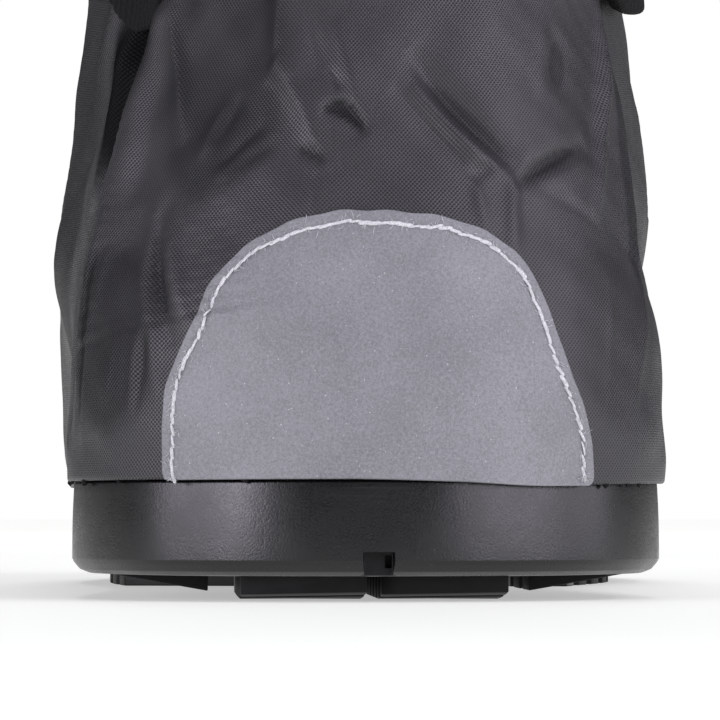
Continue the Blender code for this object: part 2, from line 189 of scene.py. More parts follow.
# Large folds of the slack wall below the strap, as in the solids but for the medial pleat, which is shallower
# here and further forward
Fold = namedtuple("Fold", "name turn turn_width level level_width depth")
UPPER_FOLDS = [
    Fold("lateral_pleat", 50.0, 7.0, 88.0, 20.0, 5.0),
    Fold("lateral_bulge", 72.0, 9.0, 54.0, 16.0, -2.4),
    Fold("medial_pleat", 303.0, 6.0, 86.0, 18.0, 1.2),
    Fold("medial_bulge", 286.0, 12.0, 70.0, 20.0, -3.4),
]

# Creases: each runs from `start` through `middle` to `end`, as (arc, level); its depth is inwards and a ridge
# has a negative one; `left` and `right` are its widths on each hand of someone who walks it on the outside;
# a crease with a lower power is sharper along its line
Crease = namedtuple("Crease", "name start middle end left right depth power", defaults=(2.0,))
CREASES = [
    Crease("lateral_gap", (-74, 108), (-80, 82), (-79, 54), 4.5, 10.5, 8.0),
    Crease("heel_panel_edge", (-61, 104), (-64, 80), (-60, 38), 8.0, 3.0, -2.0),
    Crease("lateral_band", (-104, 106), (-103, 84), (-99, 62), 2.2, 3.0, -1.2),
    Crease("lateral_band_light", (-109, 98), (-119, 84), (-118, 70), 3.0, 3.5, -1.0),
    Crease("lateral_far", (-150, 106), (-150, 84), (-146, 62), 14.0, 18.0, -1.2),
    Crease("lateral_light", (-61, 94), (-50, 82), (-42, 70), 1.4, 2.0, -0.9, 1.4),
    Crease("lateral_between", (-62, 88), (-55, 75), (-51, 60), 3.0, 3.0, 0.5),
    Crease("lateral_edge", (-60, 60), (-59, 42), (-66, 20), 1.6, 1.4, -0.5, 1.5),
    Crease("lateral_edge_second", (-54, 54), (-55.4, 40), (-59, 24), 1.4, 1.6, -0.35, 1.5),
    Crease("lateral_fold", (-67, 54), (-67, 42), (-73, 24), 2.6, 3.0, 0.9),
    Crease("lateral_low_light", (-45, 64), (-41, 49), (-36.5, 36), 1.8, 1.8, -0.45),
    Crease("lateral_low_second", (-41, 60), (-34, 47.8), (-29.5, 39), 1.3, 1.8, -0.45),
    Crease("lateral_foot", (-43.6, 59), (-38.2, 49), (-33.5, 38), 1.3, 1.7, 0.7, 1.6),
    Crease("lateral_low", (-38.4, 42), (-39.5, 35.6), (-40.4, 28), 0.9, 1.0, 0.3),
    Crease("lateral_low_left", (-40.6, 41), (-41.3, 35), (-41.6, 28), 0.9, 0.9, -0.2),
    Crease("lateral_low_right", (-37.8, 42), (-37.3, 36), (-35.6, 29), 0.9, 1.0, -0.2),
    Crease("lateral_fine", (-46.8, 43), (-47.3, 34), (-50.4, 24), 0.7, 0.9, -0.18),
    Crease("heel_panel", (-37, 100), (-33, 76), (-28, 42), 10.0, 15.0, 1.4),
    Crease("heel_hollow_upper", (-34, 69.5), (-32, 73.2), (-29.5, 77), 1.4, 1.8, 0.4),
    Crease("heel_hollow_upper_ridge", (-36, 67), (-35, 71.5), (-32.5, 76), 1.4, 1.4, -0.3),
    Crease("heel_hollow_line", (-31, 65.5), (-27, 68.9), (-23, 72.5), 1.0, 1.2, 0.4, 1.5),
    Crease("heel_hollow_ridge", (-32, 63.5), (-28, 67.2), (-24, 70.5), 1.0, 1.2, -0.3, 1.5),
    Crease("heel_hollow_second", (-26.5, 65.5), (-23.2, 67.7), (-19, 69.3), 0.9, 1.2, 0.3, 1.5),
    Crease("heel_short_line", (-15, 68), (-12, 67.6), (-9.3, 65.6), 0.8, 1.2, 0.45),
    Crease("heel_side", (-25, 98), (-23.6, 88), (-22, 78), 6.0, 2.0, -1.1, 1.4),
    Crease("heel_ridge", (-24, 81.5), (-15.6, 74.6), (-9.4, 64), 4.5, 1.6, -1.1, 1.4),
    Crease("heel_foot", (-9.8, 66), (-10.6, 61), (-9.5, 52), 4.0, 1.4, -0.35, 1.4),
    Crease("heel_top_fold", (-16, 90), (-14, 84), (-10.5, 79.5), 1.3, 1.3, 0.22),
    Crease("heel_top_ridge", (-10, 88), (-6.8, 81.5), (-2.2, 71.5), 3.2, 1.3, -0.45, 1.4),
    Crease("heel_pocket", (-11.5, 73.6), (-6.2, 74), (-1.8, 69.8), 0.9, 1.8, 0.8),
    Crease("heel_pocket_line", (-11, 80.4), (-9, 78.5), (-7.6, 76.8), 0.7, 0.7, 0.4),
    Crease("medial_valley", (7.2, 83), (18, 73), (28.6, 65.2), 3.4, 1.7, 1.5, 1.6),
    Crease("medial_ridge", (7.5, 78), (16, 70.3), (27, 63.3), 1.4, 1.6, -0.6, 1.5),
    Crease("medial_second", (3, 77.5), (11.2, 71.6), (17.8, 64), 1.9, 1.5, 0.65, 1.5),
    Crease("medial_spot", (17.5, 63.6), (20.2, 64.8), (22.5, 65.6), 1.0, 1.0, 0.45),
    Crease("medial_arm", (26.5, 62.6), (36, 66.7), (49, 70.4), 1.2, 1.7, 1.1, 1.5),
    Crease("medial_arm_ridge", (28, 60.5), (37, 64.3), (50, 67.5), 1.6, 2.0, -0.3),
    Crease("medial_stem", (26.8, 64), (25, 58.5), (23, 51), 1.3, 1.3, -0.5),
    Crease("medial_stem_dark", (28.8, 63), (27.5, 57.5), (26.2, 51), 1.2, 1.2, 0.15),
    Crease("medial_stem_second", (19.3, 63), (18.8, 60), (19.5, 55), 1.1, 1.1, -0.35),
    Crease("medial_fan", (31, 62.8), (37.5, 60.6), (46.5, 56.4), 0.9, 1.0, 0.22),
    Crease("medial_hollow", (51, 87), (46.6, 82), (42, 77), 3.6, 3.6, 0.35),
    Crease("medial_hollow_ridge", (47, 90), (41.5, 83), (37, 76), 1.8, 1.8, -0.3),
    Crease("medial_edge", (84, 94), (62, 76), (44, 58), 1.8, 1.5, -1.2, 1.6),
    Crease("medial_side_full", (92, 98), (74, 76), (58, 52), 7.0, 8.0, -1.8),
    Crease("medial_low_line", (66, 60), (53, 44), (44, 27), 1.3, 1.6, -0.35, 1.5),
    Crease("medial_fine", (44, 51), (40.5, 41), (38.3, 30), 0.9, 1.0, -0.16),
    Crease("medial_strip", (150, 92), (130, 70), (90, 44), 5.0, 4.0, -0.3),
    Crease("medial_shoulder", (152, 112), (140, 88), (128, 66), 15.0, 15.0, 1.3),
    Crease("medial_skirt", (130, 30), (88, 29), (46, 29), 9.0, 9.0, 0.75),
]
CREASE_STEPS = np.linspace(0, 1, 41)
CREASE_FADE = 6.0
CREASE_REACH = 3
CREASE_END_POWER = 0.7

# Soft unevenness of slack cloth: wavelength and height of each wave
SlackWave = namedtuple("SlackWave", "name length height heading phase")
SLACK_WAVES = [
    SlackWave("long", 31.0, 0.16, 0.5, 0.4),
    SlackWave("slanting", 19.0, 0.13, 1.3, 2.1),
    SlackWave("steep", 23.0, 0.13, -0.4, 4.0),
    SlackWave("short", 11.0, 0.06, 2.2, 1.2),
    SlackWave("fine", 7.0, 0.04, 0.9, 5.1),
]

# Turned lower edge of the cloth: how far it hangs over the sole, along the heel
EdgeDrop = namedtuple("EdgeDrop", "name arc drop")
EDGE_DROPS = [
    EdgeDrop("lateral_far", -120.0, 0.3),
    EdgeDrop("lateral", -50.0, 0.25),
    EdgeDrop("heel", -5.0, 0.1),
    EdgeDrop("heel_medial", 12.0, 0.5),
    EdgeDrop("medial", 26.0, 1.1),
    EdgeDrop("medial_side", 48.0, 0.8),
    EdgeDrop("medial_far", 120.0, 0.3),
]
EDGE_DROP_REACH = 9.0
LIP_ROUND = 0.5
LIP_BACK = 0.7
LIP_SHARES = np.array([0.0, 0.08, 0.3, 0.65])
TURNED_EDGE = 3.2

# Grid of the cloth: close columns and rows at the heel, wide ones elsewhere
FINE_ARC = 112.0
FINE_COLUMNS = 331
SIDE_COLUMNS = 44
SIDE_SPREAD = 1.25
FINE_LEVEL = 100.0
FINE_ROWS = 120
FINE_SPREAD = 1.02
SHAFT_ROWS = 40
SHAFT_SPREAD = 1.2
INNER_ROW_STEP = 3
INNER_SLACK = 0.6

# Heel patch: the level of its lower edge, and its outline from the middle of that edge round the lateral side
PATCH_FOOT = 18.4
PatchCorner = namedtuple("PatchCorner", "name arc level")
PATCH_OUTLINE = [
    PatchCorner("lower_middle", 0.0, PATCH_FOOT),
    PatchCorner("lower_lateral", -24.0, PATCH_FOOT),
    PatchCorner("lateral_foot", -33.8, PATCH_FOOT),
    PatchCorner("lateral_corner", -34.4, 19.1),
    PatchCorner("lateral_low", -34.5, 23.5),
    PatchCorner("lateral_side", -34.4, 30.5),
    PatchCorner("lateral_turn", -32.5, 36.5),
    PatchCorner("lateral_dent", -29.5, 41.5),
    PatchCorner("lateral_shoulder", -27.4, 47.2),
    PatchCorner("lateral_dome", -21.8, 53.4),
    PatchCorner("lateral_top", -12.5, 57.2),
    PatchCorner("top", -3.0, 58.5),
    PatchCorner("medial_top", 8.5, 57.8),
    PatchCorner("medial_dome", 18.0, 55.7),
    PatchCorner("medial_shoulder", 24.5, 51.0),
    PatchCorner("medial_side", 27.4, 43.5),
    PatchCorner("medial_turn", 29.3, 36.0),
    PatchCorner("medial_low", 32.2, 28.5),
    PatchCorner("medial_foot", 34.2, 23.0),
    PatchCorner("medial_corner", 35.1, 19.2),
    PatchCorner("lower_medial", 34.5, PATCH_FOOT),
    PatchCorner("lower_middle_medial", 20.0, PATCH_FOOT),
    PatchCorner("lower_middle", 0.0, PATCH_FOOT),
]
PATCH_CENTRE = np.array([0.0, 36.0])
PATCH_POINTS = 420
PATCH_FIELD_SHARE = 0.9
PATCH_FIELD_RINGS = 30
PATCH_EDGE_RINGS = 22
PATCH_BACK_STEP = 6
PATCH_GAP = 0.06
PATCH_EDGE_ROUND = 0.22
PATCH_EDGE_WAVER = 0.1
PATCH_WAVES = (151.0, 97.0, 41.0)
PATCH_WAVE_PHASE = 1.0
PATCH_WAVER_FROM = 20.0
PATCH_WAVER_FADE = 4.0
PATCH_SEWN_FROM = 20.6
PATCH_RUN = 184.0
STITCH_GROOVE = 0.2
STITCH_GROOVE_WIDTH = 0.45
STITCH_PUCKER = 0.05

# Stitches: a row of short thread loops that overlap, and the fibres that stand off them
STITCH_SEED = 5
STITCH_RINGS = 9
STITCH_SIDES = 8
STITCH_SLANT = 0.16
STITCH_SLANT_SPREAD = 0.6
STITCH_LENGTH_SPREAD = 0.12
STITCH_RADIUS_SPREAD = 0.16
STITCH_ARCH = 0.16
STITCH_BROAD = 1.15
STITCH_FLAT = 0.8
STITCH_WAVER = 0.1
STITCH_WAVES = (63.0, 149.0)
STITCH_WAVE_PHASE = 2.0
SEAM_SAMPLES = 2400
SEAM_END_SKIP = 4
SEAM_FIRST = np.array([0.4, UPPER_BOTTOM + 0.5])
SEAM_LAST = np.array([-0.2, UPPER_BOTTOM + 0.7])
FIBRE_SEED = 11
FIBRE_COUNT = 300
FIBRE_RINGS = 6
FIBRE_SIDES = 3
FIBRE_RADIUS = 0.035
FIBRE_SHORTEST = 0.4
FIBRE_LONGEST = 1.9
FIBRE_SCATTER = 0.25
FIBRE_BEND = 1.3
FIBRE_LIFT = 0.25
FIBRE_WAVE = 0.1
FIBRE_WAVE_TURN = 3
FIBRE_LOWEST = UPPER_BOTTOM - 0.2
TAIL_FIBRES = 14
TAIL_LENGTH = 1.5
TAIL_SHORTEST_SHARE = 0.5
TAIL_SCATTER = 0.2
TAIL_SPREAD = 0.7
TAIL_BEND = 0.8

# Tufts under the turned edge, where the cloth meets the sole
Tuft = namedtuple("Tuft", "name arc size")
EDGE_TUFTS = [
    Tuft("lateral_first", -74.0, 0.55),
    Tuft("lateral_second", -66.0, 0.4),
    Tuft("lateral_third", -57.0, 0.7),
    Tuft("lateral_fourth", -45.0, 0.4),
    Tuft("heel", -20.5, 0.55),
    Tuft("medial_first", 39.0, 0.5),
    Tuft("medial_second", 45.0, 0.4),
    Tuft("medial_third", 49.0, 0.4),
]
TUFT_RINGS = 9
TUFT_SIDES = 12
TUFT_LUMP = 0.25
TUFT_WAVES = (3, 2)
TUFT_INSET = 0.45
TUFT_DROP = 0.1
TUFT_DEPTH = 0.7
TUFT_HEIGHT = 0.8

# Ankle strap: an elastic band round the upper that dips into the lateral pleat
STRAP_BOTTOM = 94.4
STRAP_TILT = 1.0
STRAP_WIDTH = 25.0
STRAP_LIFT = 0.4
STRAP_THICKNESS = 2.4
STRAP_EDGE = 0.8
STRAP_COLUMNS = 2400
STRAP_EDGE_STEPS = 5
STRAP_FACE_STEPS = 9
STRAP_GROOVE_FADE = 7.0

# Places along the strap: how far its lower edge drops there, and how far it stands out from its usual lie
StrapPlace = namedtuple("StrapPlace", "name arc drop out")
STRAP_PLACES = [
    StrapPlace("lateral_front", -371.0, 0.0, 0.0),
    StrapPlace("lateral_side", -150.0, 0.0, 0.0),
    StrapPlace("band", -110.0, 0.0, -0.5),
    StrapPlace("band_edge", -104.0, 3.5, -2.0),
    StrapPlace("gap_outer", -97.0, 5.6, -4.0),
    StrapPlace("gap_inner", -88.0, 5.0, -5.0),
    StrapPlace("panel_edge", -79.0, 0.5, -5.0),
    StrapPlace("panel", -68.0, -2.0, -3.0),
    StrapPlace("heel_lateral", -45.0, -1.0, 0.0),
    StrapPlace("heel", 0.0, -1.5, 0.0),
    StrapPlace("heel_medial", 60.0, -3.5, 0.0),
    StrapPlace("medial_edge", 88.0, -3.0, 0.0),
    StrapPlace("medial_back", 112.0, 0.2, 0.2),
    StrapPlace("medial_side", 145.0, 0.2, 0.2),
    StrapPlace("medial_instep", 200.0, 0.0, 0.0),
    StrapPlace("medial_front", 371.0, 0.0, 0.0),
]

# Painted shade, in deep folds and on panels that turn from the light: a line and widths as for the creases,
# and how much of the place is in shade; the shade sets in between two strengths of the hump, and has its own
# share of the cloth's colour
Shade = namedtuple("Shade", "name start middle end left right dark")
SHADES = [
    Shade("lateral_gap", (-84, 112), (-83.5, 84), (-82, 58), 18.5, 24.0, 0.9),
    Shade("lateral_back", (-126, 112), (-128, 70), (-116, 24), 14.0, 24.0, 0.4),
    Shade("lateral_low", (-49, 57), (-51, 40), (-53, 22), 16.0, 14.0, 0.36),
    Shade("lateral_fold", (-67, 56), (-67, 42), (-73, 22), 2.6, 3.0, 0.4),
    Shade("lateral_crease", (-57.2, 56), (-57.2, 41), (-62.4, 23), 1.0, 1.0, 0.3),
    Shade("lateral_valley", (-42.6, 57), (-38.2, 49), (-34.5, 41), 0.9, 1.1, 0.35),
    Shade("medial_low", (45, 57), (43, 40), (42, 22), 13.0, 12.0, 0.14),
    Shade("medial_side", (86, 92), (70, 72), (50, 38), 3.4, 3.4, 0.35),
    Shade("lateral_panel", (-42, 106), (-36, 80), (-27, 58), 15.0, 15.0, 0.4),
    Shade("medial_valley", (9.6, 80), (19.4, 72.2), (28, 66), 1.9, 1.2, 0.4),
    Shade("medial_hollow", (50, 86), (46.6, 82), (43, 78), 2.4, 2.4, 0.3),
    Shade("heel_pocket", (-12, 73.4), (-6, 73.9), (-1.4, 69.4), 1.0, 1.7, 0.6),
    Shade("heel_short_line", (-15.5, 67.8), (-12, 67.5), (-9.2, 65.4), 0.8, 1.1, 0.35),
    Shade("medial_arm", (26, 62.6), (37, 66.9), (46, 69.4), 0.9, 1.2, 0.45),
]
SHADE_STRENGTHS = (0.3, 0.6)
SHADE_SHARE = 0.15

# Cloth: how its weave makes height, lightness and gloss; the lightness is painted highlight on the crowns
# and painted shade in the gaps
CROWN_SHARE = 0.8
ROW_SHARE = 0.2
WEAVE_CONTRAST = 1.1
TONE_CONTRAST = 0.4
CLOTH_LIGHTNESS = 0.3
CROWN_REACH = 0.8
GAP_ROUGHNESS = 0.54
CROWN_POLISH = 0.22

# Middle of a noise's range, from which it makes a surface lighter or darker, duller or glossier
MIDDLE_TONE = 0.5

# Rubber: uneven gloss, dust, and scratches that run level round the sole, as noise that is stretched along it
UNEVEN_HEIGHT = 2.0
UNEVEN_GLOSS = 0.2
SCRATCH_SCALE = (30.0, 30.0, 1800.0)
SCRATCH_DULLNESS = 0.12
DUST_COVER = 0.5
DUST_COLOUR = (0.2, 0.2, 0.2, 1.0)

# Reflective cloth: what its beads, grains and clouds add to its tone, and the colour of the painted glints
# on a few beads
BEAD_CONTRAST = 1.1
GRAIN_CONTRAST = 0.9
CLOUD_CONTRAST = 0.6
PAINTED_GLINT_COLOUR = (0.55, 0.55, 0.59, 1.0)

# Lamps, in metres: a softbox stands `turn` degrees round the heel from straight behind it, medial side
# positive, and its brightness is per area
Softbox = namedtuple("Softbox", "name turn distance height width depth brightness")
SOFTBOXES = [
    Softbox("left_key", -42.0, 1.3, 0.20, 0.36, 0.5, 5.5),
    Softbox("left_fill", -64.0, 1.3, 0.20, 0.95, 0.5, 3.6),
    Softbox("right_key", 44.0, 1.3, 0.20, 0.95, 0.5, 3.5),
    Softbox("right_fill", 80.0, 1.3, 0.20, 0.95, 0.5, 1.8),
    Softbox("heel_high", 8.0, 1.1, 0.95, 0.6, 0.6, 1.0),
    Softbox("right_high", 55.0, 1.1, 0.85, 1.1, 0.6, 2.1),
    Softbox("toe", 180.0, 1.3, 1.5, 0.9, 0.9, 4.0),
]
OVERHEAD_SIZE = 1.8
OVERHEAD_HEIGHT = 1.7
OVERHEAD_BACK = 0.2
OVERHEAD_BRIGHTNESS = 0.3
LIGHT_AIM = (0.0, -0.11, 0.05)
WATTS_PER_BRIGHTNESS = 4.0
LAMP_COLOUR = (0.955, 0.91, 1.035)

# Floor: half its side in metres, shares of its colour in faint clouds, its glow near the boot and far away
FLOOR_HALF = 12.0
FLOOR_CLOUDS = (0.99, 1.01)
FLOOR_GLOW_NEAR = (0.42, 0.42, 0.42, 1.0)
FLOOR_GLOW_FAR = (0.85, 0.85, 0.85, 1.0)

# Which socket of a colour Mix node is which
MIX_FACTOR = 0
MIX_A = 6
MIX_B = 7
MIX_RESULT = 2


def number_setting(name, description, default, subtype="NONE"):
    """A number in the panel."""
    return bpy.props.FloatProperty(name=name, description=description, subtype=subtype, default=default)


def size_setting(name, description, default):
    """A length in the panel, in metres."""
    return bpy.props.FloatProperty(name=name, description=description, unit="LENGTH", default=default)


def colour_setting(name, description, default):
    """A colour in the panel."""
    return bpy.props.FloatVectorProperty(name=name, description=description, subtype="COLOR", default=default)


class UpperSettings(bpy.types.PropertyGroup):
    """Sizes and colour of the cloth upper."""

    colour: colour_setting("Cloth colour", "Colour of the threads", (0.0138, 0.0131, 0.0151))
    wall: size_setting("Wall", "Thickness of the cloth wall", 0.0012)
    crease_share: number_setting("Creases", "Share of the creases' depth", 1.35, "FACTOR")
    weave_pitch: size_setting("Weave pitch", "Distance between like threads", 0.0007)
    weave_height: size_setting("Weave height", "Height of a thread's crown", 0.00004)


class SoleSettings(bpy.types.PropertyGroup):
    """Finish of the rubber sole."""

    colour: colour_setting("Rubber colour", "Colour of the rubber", (0.0042, 0.0042, 0.0048))
    roughness: number_setting("Roughness", "Roughness of clean rubber", 0.29, "FACTOR")
    grain_size: size_setting("Grain size", "Size of the moulded grain", 0.0003)
    grain_height: size_setting("Grain height", "Height of the moulded grain", 0.00003)


class PatchSettings(bpy.types.PropertyGroup):
    """Sizes and colours of the heel patch and its stitches."""

    colour: colour_setting("Patch colour", "Colour of the reflective cloth", (0.205, 0.207, 0.222))
    thickness: size_setting("Thickness", "Thickness of the patch", 0.0006)
    border: size_setting("Border", "Distance of the stitches from the edge", 0.0020)
    thread_colour: colour_setting("Thread colour", "Colour of the thread", (0.68, 0.68, 0.7))
    stitch_pitch: size_setting("Stitch pitch", "Distance between stitches", 0.0017)
    stitch_length: size_setting("Stitch length", "Length of one stitch", 0.0024)
    thread_radius: size_setting("Thread radius", "Half the thread's thickness", 0.00024)


class StrapSettings(bpy.types.PropertyGroup):
    """Sizes and colour of the ankle strap."""

    colour: colour_setting("Strap colour", "Colour of the elastic", (0.004, 0.004, 0.0045))
    rib_pitch: size_setting("Rib pitch", "Distance between ribs", 0.0009)
    rib_height: size_setting("Rib height", "Height of a rib", 0.00035)


class StageSettings(bpy.types.PropertyGroup):
    """Camera, floor and lights."""

    camera_turn: number_setting(
        "Camera turn", "Turn of the camera to the lateral side", float(np.radians(2.6)), "ANGLE"
    )
    camera_distance: size_setting("Camera distance", "From the camera to the middle of the heel", 0.696)
    camera_height: size_setting("Camera height", "Height of the camera over the floor", 0.013)
    focal_pixels: number_setting("Focal length", "Focal length in picture points", 4387.0)
    horizon_row: number_setting("Horizon", "Picture row of the horizon", 515.0)
    heel_column: number_setting("Heel column", "Picture column of the middle of the heel", 365.0)
    floor_colour: colour_setting("Floor colour", "Colour of the floor", (0.76, 0.8, 0.72))
    surround: number_setting("Surroundings", "Brightness of the room", 0.15)


class OverbootSettings(bpy.types.PropertyGroup):
    """All settings of the overboot."""

    upper: bpy.props.PointerProperty(type=UpperSettings, name="Upper", description="The cloth upper")
    sole: bpy.props.PointerProperty(type=SoleSettings, name="Sole", description="The rubber sole")
    patch: bpy.props.PointerProperty(type=PatchSettings, name="Patch", description="The heel patch")
    strap: bpy.props.PointerProperty(type=StrapSettings, name="Strap", description="The ankle strap")
    stage: bpy.props.PointerProperty(type=StageSettings, name="Stage", description="Camera, floor and lights")


class Wire:
    """One socket of a material's nodes: arithmetic on it adds Math nodes to the same tree."""

    def __init__(self, tree, socket=None):
        self.tree = tree
        self.socket = socket

    def node(self, kind, settings=None, sockets=None, output=0):
        """Adds a node, sets it, gives each socket a value or a link, and returns one of its outputs."""
        made = self.tree.nodes.new(kind)
        for name, value in (settings or {}).items():
            setattr(made, name, value)
        for name, value in (sockets or {}).items():
            if isinstance(value, Wire):
                self.tree.links.new(value.socket, made.inputs[name])
            else:
                made.inputs[name].default_value = value
        return Wire(self.tree, made.outputs[output])

    def output(self, name):
        """Another output of the node that this socket belongs to."""
        return Wire(self.tree, self.socket.node.outputs[name])

    def math(self, operation, *values):
        return self.node("ShaderNodeMath", {"operation": operation}, dict(enumerate((self, *values))))

    def __add__(self, other):
        return self.math("ADD", other)

    def __sub__(self, other):
        return self.math("SUBTRACT", other)

    def __rsub__(self, other):
        return self.node("ShaderNodeMath", {"operation": "SUBTRACT"}, {0: other, 1: self})

    def __mul__(self, other):
        return self.math("MULTIPLY", other)

    def step(self, low, high):
        """Smooth step from 0 at `low` to 1 at `high`."""
        places = {"From Min": low, "From Max": high, "Value": self}
        return self.node("ShaderNodeMapRange", {"interpolation_type": "SMOOTHSTEP"}, places)

    def blend(self, first, second):
        """A colour between two, by this factor."""
        sockets = {MIX_FACTOR: self, MIX_A: first, MIX_B: second}
        return self.node("ShaderNodeMix", {"data_type": "RGBA"}, sockets, MIX_RESULT)

    def noise(self, scale, detail=2.0):
        """Fractal noise from 0 to 1 on this vector."""
        return self.node("ShaderNodeTexNoise", None, {"Vector": self, "Scale": scale, "Detail": detail})

    def cells(self, scale):
        """Distance from the nearest of many scattered points on this vector."""
        return self.node("ShaderNodeTexVoronoi", None, {"Vector": self, "Scale": scale})

    def object_place(self):
        """The place on the surface in the object's own coordinates."""
        return self.node("ShaderNodeTexCoord", output="Object")

    def bump(self, distance):
        """A normal that follows this height."""
        return self.node("ShaderNodeBump", None, {"Height": self, "Distance": distance})


def shade(colour, share):
    """A colour made lighter or darker, with full alpha."""
    return (*(np.array(colour[:]) * share), 1.0)


def new_material(name, roughness, specular=0.5):
    """A material with its Principled shader: returns the material, a start for its nodes and a setter."""
    material = bpy.data.materials.new(name)
    material.use_nodes = True
    tree = material.node_tree
    shader = tree.nodes["Principled BSDF"]
    shader.inputs["Roughness"].default_value = roughness
    shader.inputs["Specular IOR Level"].default_value = specular

    def feed(socket, value):
        if isinstance(value, Wire):
            tree.links.new(value.socket, shader.inputs[socket])
        else:
            shader.inputs[socket].default_value = value

    return material, Wire(tree), feed


def tones(value, colour, low, high, dark, light):
    """A colour from a dark share of `colour` to a light one, while the value goes from low to high."""
    return value.step(low, high).blend(shade(colour, dark), shade(colour, light))


def cloth_material(settings):
    """Plain weave: crowns and gaps alternate along both threads, with a slow change of tone.

    Painted highlight lightens the crowns and painted shade darkens the gaps and the deep folds.
    """
    material, start, feed = new_material("overboot_cloth", roughness=0.42)
    place = start.node("ShaderNodeUVMap", {"uv_map": "cloth"})
    parts = place.node("ShaderNodeSeparateXYZ", None, {0: place})
    turn = 2 * np.pi * MM / settings.weave_pitch
    across = (parts * turn).math("SINE")
    up = (parts.output("Y") * turn).math("SINE")
    rows = (parts.output("Y") * (2 * turn)).math("COSINE")
    height = across * up * CROWN_SHARE + rows * ROW_SHARE
    tone = place.noise(scale=0.06, detail=3.0)
    # Painted highlight and shade of the weave: crowns lighter, gaps nearly black; the slow tone is the cloth's
    # own
    lightness = height * WEAVE_CONTRAST + tone * TONE_CONTRAST + CLOTH_LIGHTNESS
    feed("Normal", height.bump(settings.weave_height))
    feed("Roughness", GAP_ROUGHNESS - height.step(-CROWN_REACH, CROWN_REACH) * CROWN_POLISH)
    feed("Base Color", tones(lightness, settings.colour, low=0.0, high=1.0, dark=0.02, light=3.0))
    # Painted shade: the 'shaded' attribute mixes the cloth towards a dark matt copy of its colour
    shaded = start.node("ShaderNodeAttribute", {"attribute_name": "shaded"}, output="Fac")
    shadow = start.node("ShaderNodeBsdfDiffuse", None, {"Color": shade(settings.colour, SHADE_SHARE)}, "BSDF")
    tree = material.node_tree
    cloth = Wire(tree, tree.nodes["Principled BSDF"].outputs["BSDF"])
    mixed = start.node("ShaderNodeMixShader", None, {0: shaded, 1: cloth, 2: shadow})
    tree.links.new(mixed.socket, tree.nodes["Material Output"].inputs["Surface"])
    return material


def dull_shaded_rubber_material(settings):
    """Rubber of the tread and of the notch: the same grain, duller, with a tone that varies at random.

    Its colour is darker than the wall's, as painted shade for the shadow under the sole and in the notch.
    """
    material, start, feed = new_material("overboot_dull_rubber", roughness=0.55, specular=0.27)
    place = start.object_place()
    wear = place.noise(scale=400.0, detail=4.0)
    feed("Normal", place.noise(1 / settings.grain_size).bump(settings.grain_height))
    # Painted shade: the dark and light shares keep this rubber darker than the wall's
    feed("Base Color", tones(wear, settings.colour, low=0.3, high=0.8, dark=0.5, light=1.2))
    return material


def rubber_material(settings):
    """Moulded rubber: fine grain, uneven gloss, faint scratches and a little dust."""
    material, start, feed = new_material("overboot_rubber", settings.roughness)
    place = start.object_place()
    grain = place.noise(1 / settings.grain_size)
    uneven = place.noise(scale=160.0, detail=4.0)
    dust = place.cells(scale=900.0).step(low=0.09, high=0.03) * uneven.step(low=0.5, high=0.62)
    stretched = place.node("ShaderNodeMapping", None, {"Vector": place, "Scale": SCRATCH_SCALE})
    streaks = stretched.noise(scale=1.0, detail=3.0)
    scratches = streaks.step(low=0.64, high=0.7) * uneven.step(low=0.4, high=0.6)
    gloss = (uneven - MIDDLE_TONE) * UNEVEN_GLOSS + (grain - MIDDLE_TONE) * UNEVEN_GLOSS
    feed("Normal", (grain + uneven * UNEVEN_HEIGHT).bump(settings.grain_height))
    feed("Roughness", gloss + scratches * SCRATCH_DULLNESS + settings.roughness)
    feed("Base Color", (dust * DUST_COVER).blend(shade(settings.colour, 1.0), DUST_COLOUR))
    return material


def reflective_material(settings):
    """Reflective cloth: even grey with fine bead sparkle, painted glints on a few beads, and faint clouds."""
    material, start, feed = new_material("overboot_reflective", roughness=0.5)
    place = start.object_place()
    beads = place.noise(scale=5200.0, detail=1.0)
    grains = place.noise(scale=2400.0, detail=2.0)
    clouds = place.noise(scale=90.0, detail=3.0)
    cells = place.cells(scale=2600.0)
    shine = start.node("ShaderNodeSeparateXYZ", None, {0: cells.output("Color")})
    # Painted glints: a few beads get a much lighter colour
    glints = shine.step(low=0.96, high=0.995) * cells.step(low=0.35, high=0.1)
    sparkle = (beads - MIDDLE_TONE) * BEAD_CONTRAST + (grains - MIDDLE_TONE) * GRAIN_CONTRAST
    tone = sparkle + (clouds - MIDDLE_TONE) * CLOUD_CONTRAST + MIDDLE_TONE
    grey = tones(tone, settings.colour, low=0.0, high=1.0, dark=0.72, light=1.28)
    feed("Base Color", glints.blend(grey, PAINTED_GLINT_COLOUR))
    feed("Normal", beads.bump(distance=0.00004))
    return material


def thread_material(settings):
    """Spun thread: pale, matt and fibrous."""
    material, start, feed = new_material("overboot_thread", roughness=0.85)
    fibres = start.object_place().noise(scale=4200.0, detail=3.0)
    feed("Base Color", tones(fibres, settings.thread_colour, low=0.25, high=0.7, dark=0.7, light=1.1))
    feed("Normal", fibres.bump(distance=0.00012))
    return material


def fibre_material(name, settings):
    """Black fibres, as in the elastic and the tufts: matt with fine cross threads."""
    material, start, feed = new_material(name, roughness=0.8, specular=0.22)
    threads = start.object_place().noise(scale=3000.0, detail=3.0)
    feed("Base Color", tones(threads, settings.colour, low=0.3, high=0.75, dark=0.6, light=2.0))
    feed("Normal", threads.bump(distance=0.0001))
    return material


